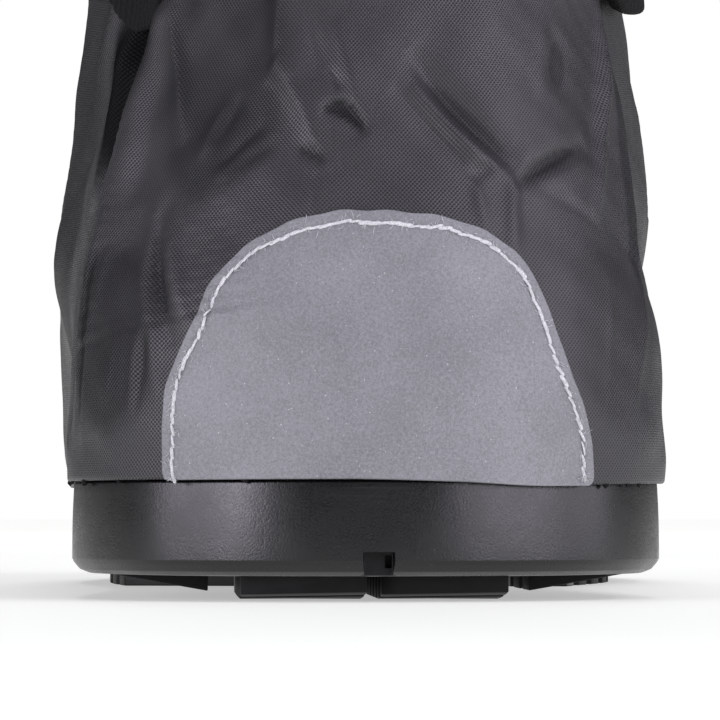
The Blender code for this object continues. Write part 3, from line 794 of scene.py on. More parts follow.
def floor_material(settings):
    """Matt paper that glows a little far from the boot, so that it stays pale where the lamps don't reach."""
    material, start, feed = new_material("stage_floor", roughness=0.9, specular=0.2)
    place = start.object_place()
    clouds = place.noise(scale=3.0, detail=2.0)
    dark, light = (shade(settings.floor_colour, share) for share in FLOOR_CLOUDS)
    feed("Base Color", clouds.blend(dark, light))
    away = place.node("ShaderNodeVectorMath", {"operation": "LENGTH"}, {0: place}, "Value")
    feed("Emission Color", away.step(low=0.5, high=2.5).blend(FLOOR_GLOW_NEAR, FLOOR_GLOW_FAR))
    feed("Emission Strength", 1.0)
    return material


def smooth_through(stations, values, at):
    """Cubic through (station, value) pairs, level at each peak, so that nothing overshoots between rows."""
    x = np.asarray(stations, float)
    y = np.asarray(values, float)
    step = np.diff(x)
    chord = np.diff(y) / step
    slope = np.concatenate([chord[:1], np.zeros(len(x) - 2), chord[-1:]])
    same_way = chord[:-1] * chord[1:] > 0
    before = 2 * step[1:] + step[:-1]
    after = step[1:] + 2 * step[:-1]
    safe = np.where(same_way, chord[:-1] * chord[1:], 1.0)
    mean = (before + after) * safe / np.where(same_way, before * chord[1:] + after * chord[:-1], 1.0)
    slope[1:-1] = np.where(same_way, mean, 0.0)
    at = np.clip(at, x[0], x[-1])
    k = np.clip(np.searchsorted(x, at, side="right") - 1, 0, len(step) - 1)
    u = (at - x[k]) / step[k]
    start = (1 + 2 * u) * (1 - u) ** 2 * y[k] + u * (1 - u) ** 2 * step[k] * slope[k]
    end = u**2 * (3 - 2 * u) * y[k + 1] - u**2 * (1 - u) * step[k] * slope[k + 1]
    return start + end


def column(rows, place, name, at):
    """A named column of a table, read at any place between its rows."""
    return smooth_through([getattr(row, place) for row in rows], [getattr(row, name) for row in rows], at)


def ease(share):
    """Smooth step from 0 to 1."""
    share = np.clip(share, 0, 1)
    return share**2 * (3 - 2 * share)


def bell(distance):
    """Gaussian hump: 1 at the middle, fading with the square of the distance."""
    return np.exp(-(distance**2))


def unit(vectors):
    return vectors / np.linalg.norm(vectors, axis=-1, keepdims=True)


def run_along(points):
    """Distance along a line of points, from 0 at its first."""
    return np.concatenate([[0], np.cumsum(np.linalg.norm(np.diff(points, axis=0), axis=1))])


def sole_centre(along):
    return column(SOLE_STATIONS, "along", "centre", along)


def sole_half_width(along):
    """Width of the stations, rounded off at the heel and the toe by superellipse ends."""
    heel = np.clip((HEEL_ROUND - along) / HEEL_ROUND, 0, 1)
    toe = np.clip((along - SOLE_LENGTH + TOE_ROUND) / TOE_ROUND, 0, 1)
    heel_end = (1 - heel**HEEL_SQUARENESS) ** (1 / HEEL_SQUARENESS)
    toe_end = (1 - toe**TOE_SQUARENESS) ** (1 / TOE_SQUARENESS)
    return column(SOLE_STATIONS, "along", "half_width", along) * heel_end * toe_end


def toe_spring(along):
    past = np.maximum((along - TOE_SPRING_START) / (SOLE_LENGTH - TOE_SPRING_START), 0)
    return TOE_SPRING * past**TOE_SPRING_POWER


def arch(along):
    return ARCH_RISE * bell((along - ARCH_MIDDLE) / ARCH_REACH)


def tread_height(along):
    """Height of the tread's ground face: level under heel and ball, lifted at the back edge and the toe."""
    before = np.clip((HEEL_ROCKER_END - along) / HEEL_ROCKER_END, 0, 1)
    return toe_spring(along) + HEEL_ROCKER * before**HEEL_ROCKER_POWER


def turns(count):
    """Angles round a loop: 0 at the back of the heel, the lateral side first, half a turn at the toe."""
    return np.arange(count) * 2 * np.pi / count


def side_of(turn):
    return np.where(np.sin(turn) >= 0, -1.0, 1.0)


def upper_point(turn, level):
    """The smooth outer face of the upper: each level's loop is part sole outline, part oval."""
    turn, level = np.broadcast_arrays(np.asarray(turn, float), np.asarray(level, float))
    at = {name: column(UPPER_LEVELS, "level", name, level) for name in UpperLevel._fields[2:]}
    part = (1 - np.cos(turn)) / 2
    along = at["back"] + (at["front"] - at["back"]) * part
    foot_along = SOLE_LENGTH * part
    foot = sole_half_width(foot_along) / BALL_HALF_WIDTH
    oval = np.abs(np.sin(turn)) ** OVAL_POWER
    share = at["foot_share"]
    before = np.clip(1 - part / HEEL_CUP, 0, 1)
    shape_share = share + (at["heel_share"] - share) * ease(before)
    half = at["half_width"] * (shape_share * foot + (1 - shape_share) * oval)
    centre = share * sole_centre(foot_along) + (1 - share) * at["centre"]
    rise = np.clip((part - RISE_START) / (1 - RISE_START), 0, 1) ** RISE_POWER
    height = level + (at["front_height"] - level) * rise + share * toe_spring(along)
    return np.stack([centre + side_of(turn) * half, along, height], axis=-1)


def upper_normal(turn, level):
    """Unit vectors out of the smooth face, from its two tangents."""
    nudge_turn, nudge_level = 0.01, 0.2
    round_it = upper_point(turn + nudge_turn, level) - upper_point(turn - nudge_turn, level)
    up_it = upper_point(turn, level + nudge_level) - upper_point(turn, level - nudge_level)
    return unit(np.cross(up_it, round_it))


ARC_TURNS = np.linspace(0, np.pi, ARC_SAMPLES)
ARC_LENGTHS = run_along(upper_point(ARC_TURNS, BULGE.level))
HALF_LOOP = ARC_LENGTHS[-1]


def turn_at(arc):
    """The turn at a distance along the bulge's loop from the middle of the heel, medial side positive."""
    return -np.sign(arc) * np.interp(np.abs(arc), ARC_LENGTHS, ARC_TURNS)


def width_share(level):
    """Width of a level's loop against the bulge's, which scales distances along the wall."""
    return column(UPPER_LEVELS, "level", "half_width", level) / BULGE.half_width


def fold_depth(turn, level):
    """Depth of the large folds: a soft trough or ridge for each row of the table."""
    depth = np.zeros(np.broadcast(turn, level).shape)
    for fold in UPPER_FOLDS:
        away = np.degrees(turn) % 360 - fold.turn
        depth += fold.depth * bell(away / fold.turn_width) * bell((level - fold.level) / fold.level_width)
    return depth


def crease_depth(arc, level, creases=CREASES):
    """Depth of the creases: for each, a hump across a parabola through its three points.

    The hump falls off by a power of the distance, with its own width on each side, and fades to nothing at
    both ends of the line.
    """
    arc, level = np.broadcast_arrays(np.asarray(arc, float), np.asarray(level, float))
    depth = np.zeros(arc.shape)
    t = CREASE_STEPS[:, None]
    for crease in creases:
        start, middle, end = (np.array(point, float) for point in (crease.start, crease.middle, crease.end))
        line = (1 - t) * (1 - 2 * t) * start + 4 * t * (1 - t) * middle + t * (2 * t - 1) * end
        way = unit(np.gradient(line, axis=0))
        reach = CREASE_REACH * max(crease.left, crease.right)
        near = np.abs(level - line[:, 1].mean()) < np.ptp(line[:, 1]) / 2 + reach + CREASE_FADE
        near &= (arc > line[:, 0].min() - 2 * reach) & (arc < line[:, 0].max() + 2 * reach)
        x = (arc[near][:, None] - line[None, :, 0]) * width_share(level[near])[:, None]
        y = level[near][:, None] - line[None, :, 1]
        closest = np.argmin(x**2 + y**2, axis=1)
        rows = np.arange(len(closest))
        x, y = x[rows, closest], y[rows, closest]
        hand = way[closest, 0] * y - way[closest, 1] * x
        width = np.where(hand > 0, crease.left, crease.right)
        fade = np.sin(np.pi * CREASE_STEPS[closest]) ** CREASE_END_POWER
        depth[near] += crease.depth * fade * np.exp(-(np.hypot(x, y) / width) ** crease.power)
    return depth


def slack(arc, level):
    """Unevenness of slack cloth: a sum of long sine waves with different headings."""
    lift = 0.0
    for wave in SLACK_WAVES:
        way = arc * np.cos(wave.heading) + level * np.sin(wave.heading)
        lift = lift + wave.height * np.sin(2 * np.pi * way / wave.length + wave.phase)
    return lift


def edge_drop(arc, level):
    """How far the cloth's lower edge hangs over the sole, fading upwards."""
    return column(EDGE_DROPS, "arc", "drop", arc) * (1 - ease((level - UPPER_BOTTOM) / EDGE_DROP_REACH))


def strap_groove(arc, level):
    """How far the cloth is drawn in where the strap lies deeper than the smooth face."""
    inset = np.maximum(-column(STRAP_PLACES, "arc", "out", arc), 0)
    low = STRAP_BOTTOM - column(STRAP_PLACES, "arc", "drop", arc)
    enter = ease((level - low + STRAP_GROOVE_FADE) / STRAP_GROOVE_FADE)
    return inset * enter * (1 - ease((level - low - STRAP_WIDTH) / STRAP_GROOVE_FADE))


def cloth_face(arc, level, lift=0.0):
    """The creased face: the smooth face moved along its normal by folds, creases and slack, plus a lift."""
    arc, level = np.broadcast_arrays(np.asarray(arc, float), np.asarray(level, float))
    turn = turn_at(arc)
    settings = bpy.context.scene.overboot.upper
    fade = ease((level - UPPER_BOTTOM) / CREASE_FADE)
    moved = lift - fold_depth(turn, level) - strap_groove(arc, level)
    moved = moved + fade * (slack(arc, level) - settings.crease_share * crease_depth(arc, level))
    point = upper_point(turn, level) + upper_normal(turn, level) * moved[..., None]
    point[..., 2] -= edge_drop(arc, level)
    return point


def cloth_frame(arc, level, lift=0.0):
    """A point of the creased face with its unit vectors along the wall, up it and out of it."""
    nudge = 0.15
    point = cloth_face(arc, level, lift)
    along = unit(cloth_face(arc + nudge, level, lift) - cloth_face(arc - nudge, level, lift))
    up = cloth_face(arc, level + nudge, lift) - cloth_face(arc, level - nudge, lift)
    out = unit(np.cross(along, up))
    return point, along, np.cross(out, along), out


def plan_shift():
    """Where the solids' origin lies in the sole's own plan, from the box of the outsole."""
    low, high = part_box("outsole")
    along = np.linspace(0, SOLE_LENGTH, PLAN_SAMPLES)
    lateral = (sole_centre(along) - sole_half_width(along)).min()
    medial = (sole_centre(along) + sole_half_width(along)).max()
    return np.array([(low.x + high.x) / 2 / MM - (lateral + medial) / 2, low.y / MM + WALL_BELLY, 0.0])


PLAN_SHIFT = plan_shift()


def quad_grid(rows, columns, ring_rows=False, ring_columns=False):
    """Corners of a grid's quads, as point numbers and as rows and columns that count past a closed end."""
    row = np.arange(rows if ring_rows else rows - 1)[:, None, None] + np.array([0, 0, 1, 1])
    place = np.arange(columns if ring_columns else columns - 1)[None, :, None] + np.array([0, 1, 1, 0])
    row, place = np.broadcast_arrays(row, place)
    faces = (row % rows) * columns + place % columns
    return faces.reshape(-1, 4), row.reshape(-1, 4), place.reshape(-1, 4)


def repeat_faces(faces, points_each, count):
    """The faces of one small shape, numbered on for each of its copies."""
    return (faces[None] + points_each * np.arange(count)[:, None, None]).reshape(-1, faces.shape[1])


def new_mesh(name, points, faces):
    """A mesh from points in millimetres of the boot's own plan."""
    mesh = bpy.data.meshes.new(name)
    world = (np.asarray(points, float).reshape(-1, 3) + PLAN_SHIFT) * MM
    mesh.from_pydata(world.tolist(), [], np.asarray(faces).tolist())
    return mesh


def welded_mesh(name, points, faces):
    """A mesh with faces outwards, whose points that lie together are merged to close poles and seams."""
    mesh = new_mesh(name, points, faces)
    shell = bmesh.new()
    shell.from_mesh(mesh)
    bmesh.ops.remove_doubles(shell, verts=shell.verts, dist=WELD_DISTANCE)
    bmesh.ops.recalc_face_normals(shell, faces=shell.faces)
    shell.to_mesh(mesh)
    shell.free()
    return mesh


def link(name, data):
    """A new object of the scene with this mesh, lamp or camera."""
    thing = bpy.data.objects.new(name, data)
    bpy.context.scene.collection.objects.link(thing)
    return thing


def add_piece(name, mesh, material, node=None):
    """Links a mesh as a piece of the boot that stands for a solid, where there is one."""
    mesh.materials.clear()
    mesh.materials.append(material)
    mesh.shade_smooth()
    piece = link(name, mesh)
    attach(piece, "root")
    if node:
        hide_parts(node)
    return piece


def upper_columns():
    """Arcs of the cloth's columns, from the toe round the lateral side, the heel and the medial side."""
    fine = np.linspace(-FINE_ARC, FINE_ARC, FINE_COLUMNS)
    share = np.linspace(0, 1, SIDE_COLUMNS + 1)[1:] ** SIDE_SPREAD
    side = FINE_ARC + (HALF_LOOP - FINE_ARC) * share
    return np.concatenate([-side[::-1], fine, side[:-1]])


def upper_rows():
    """Levels of the cloth's outer rows, from the lower edge to the collar."""
    fine = UPPER_BOTTOM + (FINE_LEVEL - UPPER_BOTTOM) * np.linspace(0, 1, FINE_ROWS) ** FINE_SPREAD
    lip = UPPER_BOTTOM + LIP_ROUND * LIP_SHARES
    share = np.linspace(0, 1, SHAFT_ROWS + 1)[1:] ** SHAFT_SPREAD
    shaft = FINE_LEVEL + (HEM_START - HEM_EDGE - FINE_LEVEL) * share
    return np.concatenate([lip, fine[1:], shaft, np.linspace(HEM_START, COLLAR.level, HEM_ROWS)])


def upper_mesh(settings):
    """The cloth shell: outer rows up, over the collar, inner rows down, and back under the turned edge.

    Every row is the creased face with a lift: none outside, the hem's step near the collar, and minus the
    wall's thickness inside. The lower edge is a quarter round that ends in a lip behind the sole's edge.
    """
    arc = upper_columns()[None, :]
    level = upper_rows()[:, None]
    wall = settings.wall / MM
    hem = HEM_STEP * (level >= HEM_START)
    up_lip = np.clip(level - UPPER_BOTTOM, 0, LIP_ROUND)
    lip = LIP_ROUND - np.sqrt(LIP_ROUND**2 - (LIP_ROUND - up_lip) ** 2)
    outer = cloth_face(arc, level, hem - lip)
    inner_level = level[: len(LIP_SHARES) : -INNER_ROW_STEP]
    inner = cloth_face(arc, inner_level, -wall - INNER_SLACK * ease((FINE_LEVEL - inner_level) / CREASE_FADE))
    inner[..., 2] += edge_drop(arc, inner_level)
    collar = (outer[-1:] + inner[:1]) / 2 + np.array([0.0, 0.0, COLLAR_ROUND])
    below = cloth_face(arc, np.array([[UPPER_BOTTOM]]), np.array([[-TURNED_EDGE], [-LIP_BACK]]))
    below[..., 2] += edge_drop(arc, UPPER_BOTTOM)
    points = np.concatenate([outer, collar, inner, below])
    faces, row, place = quad_grid(points.shape[0], points.shape[1], True, True)
    mesh = new_mesh("cloth_upper", points, faces)
    run = run_along(points[:, FINE_COLUMNS // 2 + SIDE_COLUMNS])
    run = np.append(run, run[-1] + TURNED_EDGE)
    lowest = np.full(len(below) + 1, UPPER_BOTTOM)
    levels = np.concatenate([level[:, 0], [COLLAR.level], inner_level[:, 0], lowest])
    arcs = np.concatenate([arc[0], [HALF_LOOP]])
    uv = np.stack([arcs[place] * width_share(levels[row]), run[row]], axis=-1)
    mesh.uv_layers.new(name="cloth").data.foreach_set("uv", uv.astype(np.float32).ravel())
    # Painted shade: how far each outer point is mixed towards the dark copy of the cloth's colour
    shaded = np.zeros(points.shape[:2], np.float32)
    low, high = SHADE_STRENGTHS
    for dim in SHADES:
        hump = crease_depth(arc, level, [Crease(*dim[:-1], depth=1.0)])
        shaded[: len(level)] += dim.dark * ease((hump - low) / (high - low))
    mesh.attributes.new("shaded", "FLOAT", "POINT").data.foreach_set("value", shaded.ravel())
    return mesh


def outward(across, along):
    """Unit vectors pointing out of a closed loop in plan."""
    d_across = np.roll(across, -1) - np.roll(across, 1)
    d_along = np.roll(along, -1) - np.roll(along, 1)
    size = np.hypot(d_across, d_along)
    return -d_along / size, d_across / size


def rounded_profile(rings):
    """Rows of a profile whose corners are quadratic curves, from `round` before each to `round` after it."""
    corner = np.array([[ring.out, ring.height, ring.arch_share] for ring in rings])
    reach = np.array([[ring.round] for ring in rings[1:-1]])
    start = corner[1:-1] - unit(corner[1:-1] - corner[:-2]) * reach
    end = corner[1:-1] + unit(corner[2:] - corner[1:-1]) * reach
    t = CORNER_STEPS
    curve = (1 - t) ** 2 * start + 2 * t * (1 - t) * corner[1:-1] + t**2 * end
    return np.concatenate([corner[:1], curve.swapaxes(0, 1).reshape(-1, 3), corner[-1:]])


def ladder_faces(first, count):
    """Quads and two end triangles that fill a loop by joining each point to the one across from it."""
    half = count // 2
    k = np.arange(1, half - 1)
    rungs = np.stack([first + k, first + k + 1, first + count - k - 1, first + count - k], axis=1)
    ends = [[first, first + 1, first + count - 1], [first + half - 1, first + half, first + half + 1]]
    return rungs.tolist() + ends


def prism(plan, bottoms, top):
    """Points and faces of a block: a ground height for each corner of its plan, a top with the toe spring."""
    plan = np.array(plan, float)
    count = len(plan)
    low = np.column_stack([plan, bottoms])
    high = np.column_stack([plan, top + toe_spring(plan[:, 1])])
    k = np.arange(count)
    sides = np.stack([k, (k + 1) % count, (k + 1) % count + count, k + count], axis=1)
    return np.concatenate([low, high]), [k.tolist(), (k + count).tolist(), *sides.tolist()]


def reach_across(along, side, inset):
    """How far a tread block may go to one side before it comes `inset` from the outline."""
    return float(sole_centre(along) + side * max(sole_half_width(along) - inset, 0.0))


def bar_end(inner, low, side, zone):
    """Outer corner of a slanted edge that starts at (inner, low), found by stepping it to the outline."""
    outer = inner
    for _ in range(END_STEPS):
        along = low + BAR_SLANT * (outer - inner)
        reach = reach_across(along, side, zone.edge_inset)
        outer = side * min(side * reach, side * inner + zone.half_span)
    return outer, low + BAR_SLANT * (outer - inner)


def tread_blocks():
    """The tread: slanted bars on each side of the middle gap, and the heel's blocks, which slope outwards."""
    blocks = []
    for zone in TREAD_ZONES:
        for side in (-1, 1):
            start = zone.start + (zone.pitch / 2 if side > 0 else 0.0)
            for low in np.arange(start, zone.end, zone.pitch):
                inner = float(sole_centre(low)) + side * CENTRE_GAP / 2
                high = low + zone.bar
                ends = [bar_end(inner, edge, side, zone) for edge in (low, high)]
                plan = [(inner, low), ends[0], ends[1], (inner, high)]
                blocks.append(prism(plan, tread_height(np.array(plan)[:, 1]), BAR_TOP))
    for low in HEEL_BLOCK_STARTS:
        high = low + HEEL_BLOCK_LENGTH
        for side in (-1, 1):
            ends = [reach_across(y, side, HEEL_BLOCK_INSET) for y in (low, high)]
            inner = side * HEEL_BLOCK_INNER
            plan = [(inner, low), (ends[0], low), (ends[1], high), (inner, high)]
            ground = [HEEL_BLOCK_INNER_HEIGHT, HEEL_BLOCK_OUTER_HEIGHT]
            blocks.append(prism(plan, ground + ground[::-1], BAR_TOP))
    return blocks


def helper_object(name, blocks, bevel):
    """A cutter or filler for the sole made of separate blocks, with bevelled edges."""
    points, faces, first = [], [], 0
    for block_points, block_faces in blocks:
        points.append(block_points)
        faces += [[k + first for k in face] for face in block_faces]
        first += len(block_points)
    helper = link(name, welded_mesh(name, np.concatenate(points), np.array(faces, dtype=object)))
    edge = helper.modifiers.new("edge", "BEVEL")
    edge.width = bevel * MM
    edge.segments = BEVEL_SEGMENTS
    return helper


def notch_blocks():
    """The notch, wider at the wall than inside, and the slot in it, both cut from behind the heel."""
    half = NOTCH_WIDTH / 2
    wide = half + NOTCH_FLARE
    mouth = -NOTCH_DEPTH
    notch = [(-wide, mouth), (wide, mouth), (half, NOTCH_FLARE_DEPTH), (half, NOTCH_DEPTH)]
    notch += [(-half, NOTCH_DEPTH), (-half, NOTCH_FLARE_DEPTH)]
    low, high = SLOT_MIDDLE - SLOT_WIDTH / 2, SLOT_MIDDLE + SLOT_WIDTH / 2
    slot = [(low, 0.0), (high, 0.0), (high, SLOT_DEPTH), (low, SLOT_DEPTH)]
    return prism(notch, [0.0] * len(notch), NOTCH_TOP), prism(slot, [SLOT_BOTTOM] * len(slot), SLOT_TOP)


def sole_mesh():
    """The rubber tray: a rounded profile carried round the outline, cut by the notch, joined to the tread."""
    turn = turns(OUTLINE_POINTS)
    along = SOLE_LENGTH * (1 - np.cos(turn)) / 2
    across = sole_centre(along) + side_of(turn) * sole_half_width(along)
    out_across, out_along = outward(across, along)
    profile = rounded_profile(SOLE_RINGS)
    out, height, arch_share = (profile[:, k, None] for k in range(3))
    rise = height + toe_spring(along) + arch_share * arch(along)
    points = np.stack(np.broadcast_arrays(across + out * out_across, along + out * out_along, rise), axis=-1)
    faces = quad_grid(len(profile), OUTLINE_POINTS, False, True)[0].tolist()
    faces += ladder_faces(0, OUTLINE_POINTS)
    faces += ladder_faces((len(profile) - 1) * OUTLINE_POINTS, OUTLINE_POINTS)
    tray = link("sole_tray", welded_mesh("rubber_outsole", points, np.array(faces, dtype=object)))
    notch, slot = notch_blocks()
    helpers = [
        (helper_object("notch_helper", [notch], NOTCH_BEVEL), "DIFFERENCE"),
        (helper_object("slot_helper", [slot], SLOT_BEVEL), "DIFFERENCE"),
        (helper_object("tread_helper", tread_blocks(), TREAD_BEVEL), "UNION"),
    ]
    for helper, operation in helpers:
        cut = tray.modifiers.new(helper.name, "BOOLEAN")
        cut.operation = operation
        cut.solver = "EXACT"
        cut.object = helper
    made = bpy.data.meshes.new_from_object(tray.evaluated_get(bpy.context.evaluated_depsgraph_get()))
    for thing in [tray, *(helper for helper, _ in helpers)]:
        bpy.data.objects.remove(thing)
    made.name = "rubber_outsole"
    return made


def dull_shaded_faces(mesh):
    """1 for each face of the tread and of the notch, 0 for the rest, by where the face's middle lies.

    These faces get the darker rubber, painted shade for the shadow under the sole and in the notch.
    """
    centre = np.empty(3 * len(mesh.polygons), np.float32)
    mesh.polygons.foreach_get("center", centre)
    across, along, height = (centre.reshape(-1, 3) / MM - PLAN_SHIFT).T
    tread = height - toe_spring(along) < BASE_BOTTOM - DULL_SHADED_SLACK
    notch = (along > NOTCH_FLARE_DEPTH) & (along < SLOT_DEPTH + DULL_SHADED_SLACK)
    notch &= (np.abs(across) < NOTCH_WIDTH / 2 + DULL_SHADED_SLACK) & (height < NOTCH_TOP + DULL_SHADED_SLACK)
    return (tread | notch).astype(np.int32)


def patch_edge(share):
    """The patch's outline at a share of its length, as (arc, level), with the slight waver of a hand cut."""
    corners = np.array([[corner.arc, corner.level] for corner in PATCH_OUTLINE])
    lengths = run_along(corners)
    at = share * lengths[-1]
    edge = np.stack([smooth_through(lengths, corners[:, k], at) for k in range(2)], axis=-1)
    quick, middle, slow = (np.array(PATCH_WAVES) * share[:, None]).T
    waver = PATCH_EDGE_WAVER * (np.sin(quick) + np.sin(middle + PATCH_WAVE_PHASE) * np.sin(slow))
    waver = waver * ease((edge[..., 1] - PATCH_WAVER_FROM) / PATCH_WAVER_FADE)
    return edge + unit(edge - PATCH_CENTRE) * waver[..., None]


def patch_rings():
    """Shares of the way from the patch's centre to its edge: wide steps first, close ones at the edge."""
    field = np.linspace(0, PATCH_FIELD_SHARE, PATCH_FIELD_RINGS, endpoint=False)
    return np.concatenate([field, np.linspace(PATCH_FIELD_SHARE, 1.0, PATCH_EDGE_RINGS)])


def edge_distance(places, edge):
    """Distance of each place from the nearest point of the outline."""
    flat = places.reshape(-1, 2)
    gaps = np.hypot(flat[:, None, 0] - edge[None, :, 0], flat[:, None, 1] - edge[None, :, 1])
    return gaps.min(axis=1).reshape(places.shape[:-1])


def patch_mesh(settings):
    """The patch: rings from its centre to its outline, lifted off the creased face by a rounded edge.

    A groove holds the stitches, with a pucker at each; the back is a second face close to the cloth.
    """
    share = np.arange(PATCH_POINTS) / PATCH_POINTS
    edge = patch_edge(share)
    rings = patch_rings()
    places = PATCH_CENTRE + rings[:, None, None] * (edge - PATCH_CENTRE)
    inset = edge_distance(places, edge)
    border = settings.border / MM
    thick = settings.thickness / MM * np.sqrt(1 - np.clip(1 - inset / PATCH_EDGE_ROUND, 0, 1) ** 2)
    sewn_inset = edge_distance(places, edge[edge[:, 1] > PATCH_SEWN_FROM])
    groove = bell((sewn_inset - border) / STITCH_GROOVE_WIDTH)
    pucker = STITCH_PUCKER * np.sin(2 * np.pi * share * PATCH_RUN / (settings.stitch_pitch / MM))
    lift = PATCH_GAP + thick + groove * (pucker - STITCH_GROOVE)
    front = cloth_face(places[..., 0], places[..., 1], lift)
    back_places = places[::-PATCH_BACK_STEP]
    back = cloth_face(back_places[..., 0], back_places[..., 1], PATCH_GAP / 2)
    middle = np.broadcast_to(cloth_face(*PATCH_CENTRE, PATCH_GAP / 2), (1, PATCH_POINTS, 3))
    points = np.concatenate([front, back, middle])
    return welded_mesh("reflective_patch", points, quad_grid(len(points), PATCH_POINTS, False, True)[0])


def stitch_path(settings):
    """The stitches' line as places and headings at even steps: the outline set in, open at its lower edge."""
    share = np.linspace(0, 1, SEAM_SAMPLES)
    edge = patch_edge(share)
    way = unit(np.gradient(edge, axis=0))
    inward = np.stack([way[:, 1], -way[:, 0]], axis=1)
    slow, quick = (np.array(STITCH_WAVES) * share[:, None]).T
    waver = STITCH_WAVER * (np.sin(slow) + np.sin(quick + STITCH_WAVE_PHASE))
    line = edge + inward * (settings.border / MM + waver)[:, None]
    sewn = np.flatnonzero(edge[:, 1] > PATCH_SEWN_FROM)
    line = line[sewn[0] : sewn[-1] + 1]
    first = SEAM_FIRST + [line[0, 0], 0.0]
    last = SEAM_LAST + [line[-1, 0], 0.0]
    line = np.concatenate([first[None], line[SEAM_END_SKIP:-SEAM_END_SKIP], last[None]])
    lengths = run_along(line)
    at = np.arange(0.0, lengths[-1], settings.stitch_pitch / MM)
    place = np.stack([np.interp(at, lengths, line[:, k]) for k in range(2)], axis=1)
    heading = unit(np.gradient(place, axis=0))
    return place, heading


def tubes(paths, first, second, radius, sides):
    """Closed tubes: for each path a ring at every point, which shrinks to nothing at both ends.

    `paths` is (tube, ring, 3). `first` and `second` are the two axes of the rings, and `radius` is one for
    all tubes or one for each.
    """
    count, rings = paths.shape[:2]
    angle = turns(sides)[:, None]
    along = np.linspace(-1, 1, rings)[:, None, None]
    size = np.reshape(radius, (-1, 1, 1, 1)) * np.sqrt(1 - along**4)
    ring = np.cos(angle) * first[:, :, None, :] + np.sin(angle) * second[:, :, None, :]
    points = paths[:, :, None, :] + size * ring
    faces = quad_grid(rings, sides, False, True)[0]
    return points.reshape(-1, 3), repeat_faces(faces, rings * sides, count)


def stitches_mesh(settings):
    """Thread loops: a flattened capsule for each stitch, slanted across the line, arched over the patch."""
    place, heading = stitch_path(settings)
    chance = np.random.default_rng(STITCH_SEED)
    count = len(place)
    lift = PATCH_GAP + settings.thickness / MM - STITCH_GROOVE
    point, side, up, out = cloth_frame(place[:, 0], place[:, 1], lift)
    way = unit(side * heading[:, :1] + up * heading[:, 1:])
    across = np.cross(out, way)
    slant = STITCH_SLANT * (1 + chance.normal(0, STITCH_SLANT_SPREAD, count))[:, None]
    axis = np.cos(slant) * way + np.sin(slant) * across
    cross = np.cross(out, axis)
    length = settings.stitch_length / MM * (1 + chance.normal(0, STITCH_LENGTH_SPREAD, count))
    radius = settings.thread_radius / MM * (1 + chance.normal(0, STITCH_RADIUS_SPREAD, count))
    along = np.linspace(-1, 1, STITCH_RINGS)[:, None]
    point, axis, cross, out = (each[:, None, :] for each in (point, axis, cross, out))
    middle = point + axis * along * length[:, None, None] / 2 + out * (STITCH_ARCH * (1 - along**2))
    loops = tubes(middle, cross * STITCH_BROAD, out * STITCH_FLAT, radius, STITCH_SIDES)
    return welded_mesh("patch_stitches", *loops)


def fibres_mesh(settings):
    """Stray fibres: short curved hairs that leave the stitches at chance places and headings, and tails."""
    place = stitch_path(settings)[0]
    chance = np.random.default_rng(FIBRE_SEED)
    pick = chance.integers(0, len(place), FIBRE_COUNT)
    start = place[pick] + chance.normal(0, FIBRE_SCATTER, (FIBRE_COUNT, 2))
    turn = chance.uniform(0, 2 * np.pi, FIBRE_COUNT)
    bend = chance.normal(0, FIBRE_BEND, FIBRE_COUNT)
    length = FIBRE_SHORTEST + (FIBRE_LONGEST - FIBRE_SHORTEST) * chance.uniform(0, 1, FIBRE_COUNT) ** 2
    ends = np.repeat([0, len(place) - 1], TAIL_FIBRES)
    start = np.concatenate([start, place[ends] + chance.normal(0, TAIL_SCATTER, (len(ends), 2))])
    turn = np.concatenate([turn, -np.pi / 2 + chance.normal(0, TAIL_SPREAD, len(ends))])
    bend = np.concatenate([bend, chance.normal(0, TAIL_BEND, len(ends))])
    length = np.concatenate([length, TAIL_LENGTH * chance.uniform(TAIL_SHORTEST_SHARE, 1.0, len(ends))])
    step = np.linspace(0, 1, FIBRE_RINGS)
    angle = turn[:, None] + bend[:, None] * step
    run = np.stack([np.cos(angle), np.sin(angle)], axis=-1) * (length / FIBRE_RINGS)[:, None, None]
    way = start[:, None, :] + np.cumsum(run, axis=1)
    wave = FIBRE_WAVE * np.sin(bend[:, None] + FIBRE_WAVE_TURN * step)
    lift = settings.thickness / MM + PATCH_GAP + FIBRE_LIFT + wave
    level = np.maximum(way[..., 1], FIBRE_LOWEST)
    point, _, _, out = cloth_frame(way[..., 0], level, lift)
    side = unit(np.cross(unit(np.gradient(point, axis=1)), out))
    return welded_mesh("patch_fibres", *tubes(point, out, side, FIBRE_RADIUS, FIBRE_SIDES))


def tufts_mesh():
    """Tufts of cloth and thread under the turned edge: lumpy balls, spheres with waves on their radius."""
    size = np.array([tuft.size for tuft in EDGE_TUFTS])
    arc = np.array([tuft.arc for tuft in EDGE_TUFTS])
    centre, side, up, out = cloth_frame(arc, np.full(len(arc), UPPER_BOTTOM), -TUFT_INSET)
    centre = centre - up * TUFT_DROP
    north = np.linspace(0, np.pi, TUFT_RINGS)[None, :, None, None]
    round_it = turns(TUFT_SIDES)[None, None, :, None]
    phase = arc[:, None, None, None]
    round_waves, north_waves = TUFT_WAVES
    lump = 1 + TUFT_LUMP * np.sin(round_waves * round_it + phase) * np.sin(north_waves * north + phase)
    lump = lump * size[:, None, None, None]
    centre, side, up, out = (each[:, None, None, :] for each in (centre, side, up, out))
    flat = np.sin(north) * np.cos(round_it) * side
    flat = flat + TUFT_DEPTH * np.sin(north) * np.sin(round_it) * out
    points = centre + lump * (flat + TUFT_HEIGHT * np.cos(north) * up)
    faces = quad_grid(TUFT_RINGS, TUFT_SIDES, False, True)[0]
    return welded_mesh("edge_tufts", points, repeat_faces(faces, TUFT_RINGS * TUFT_SIDES, len(arc)))


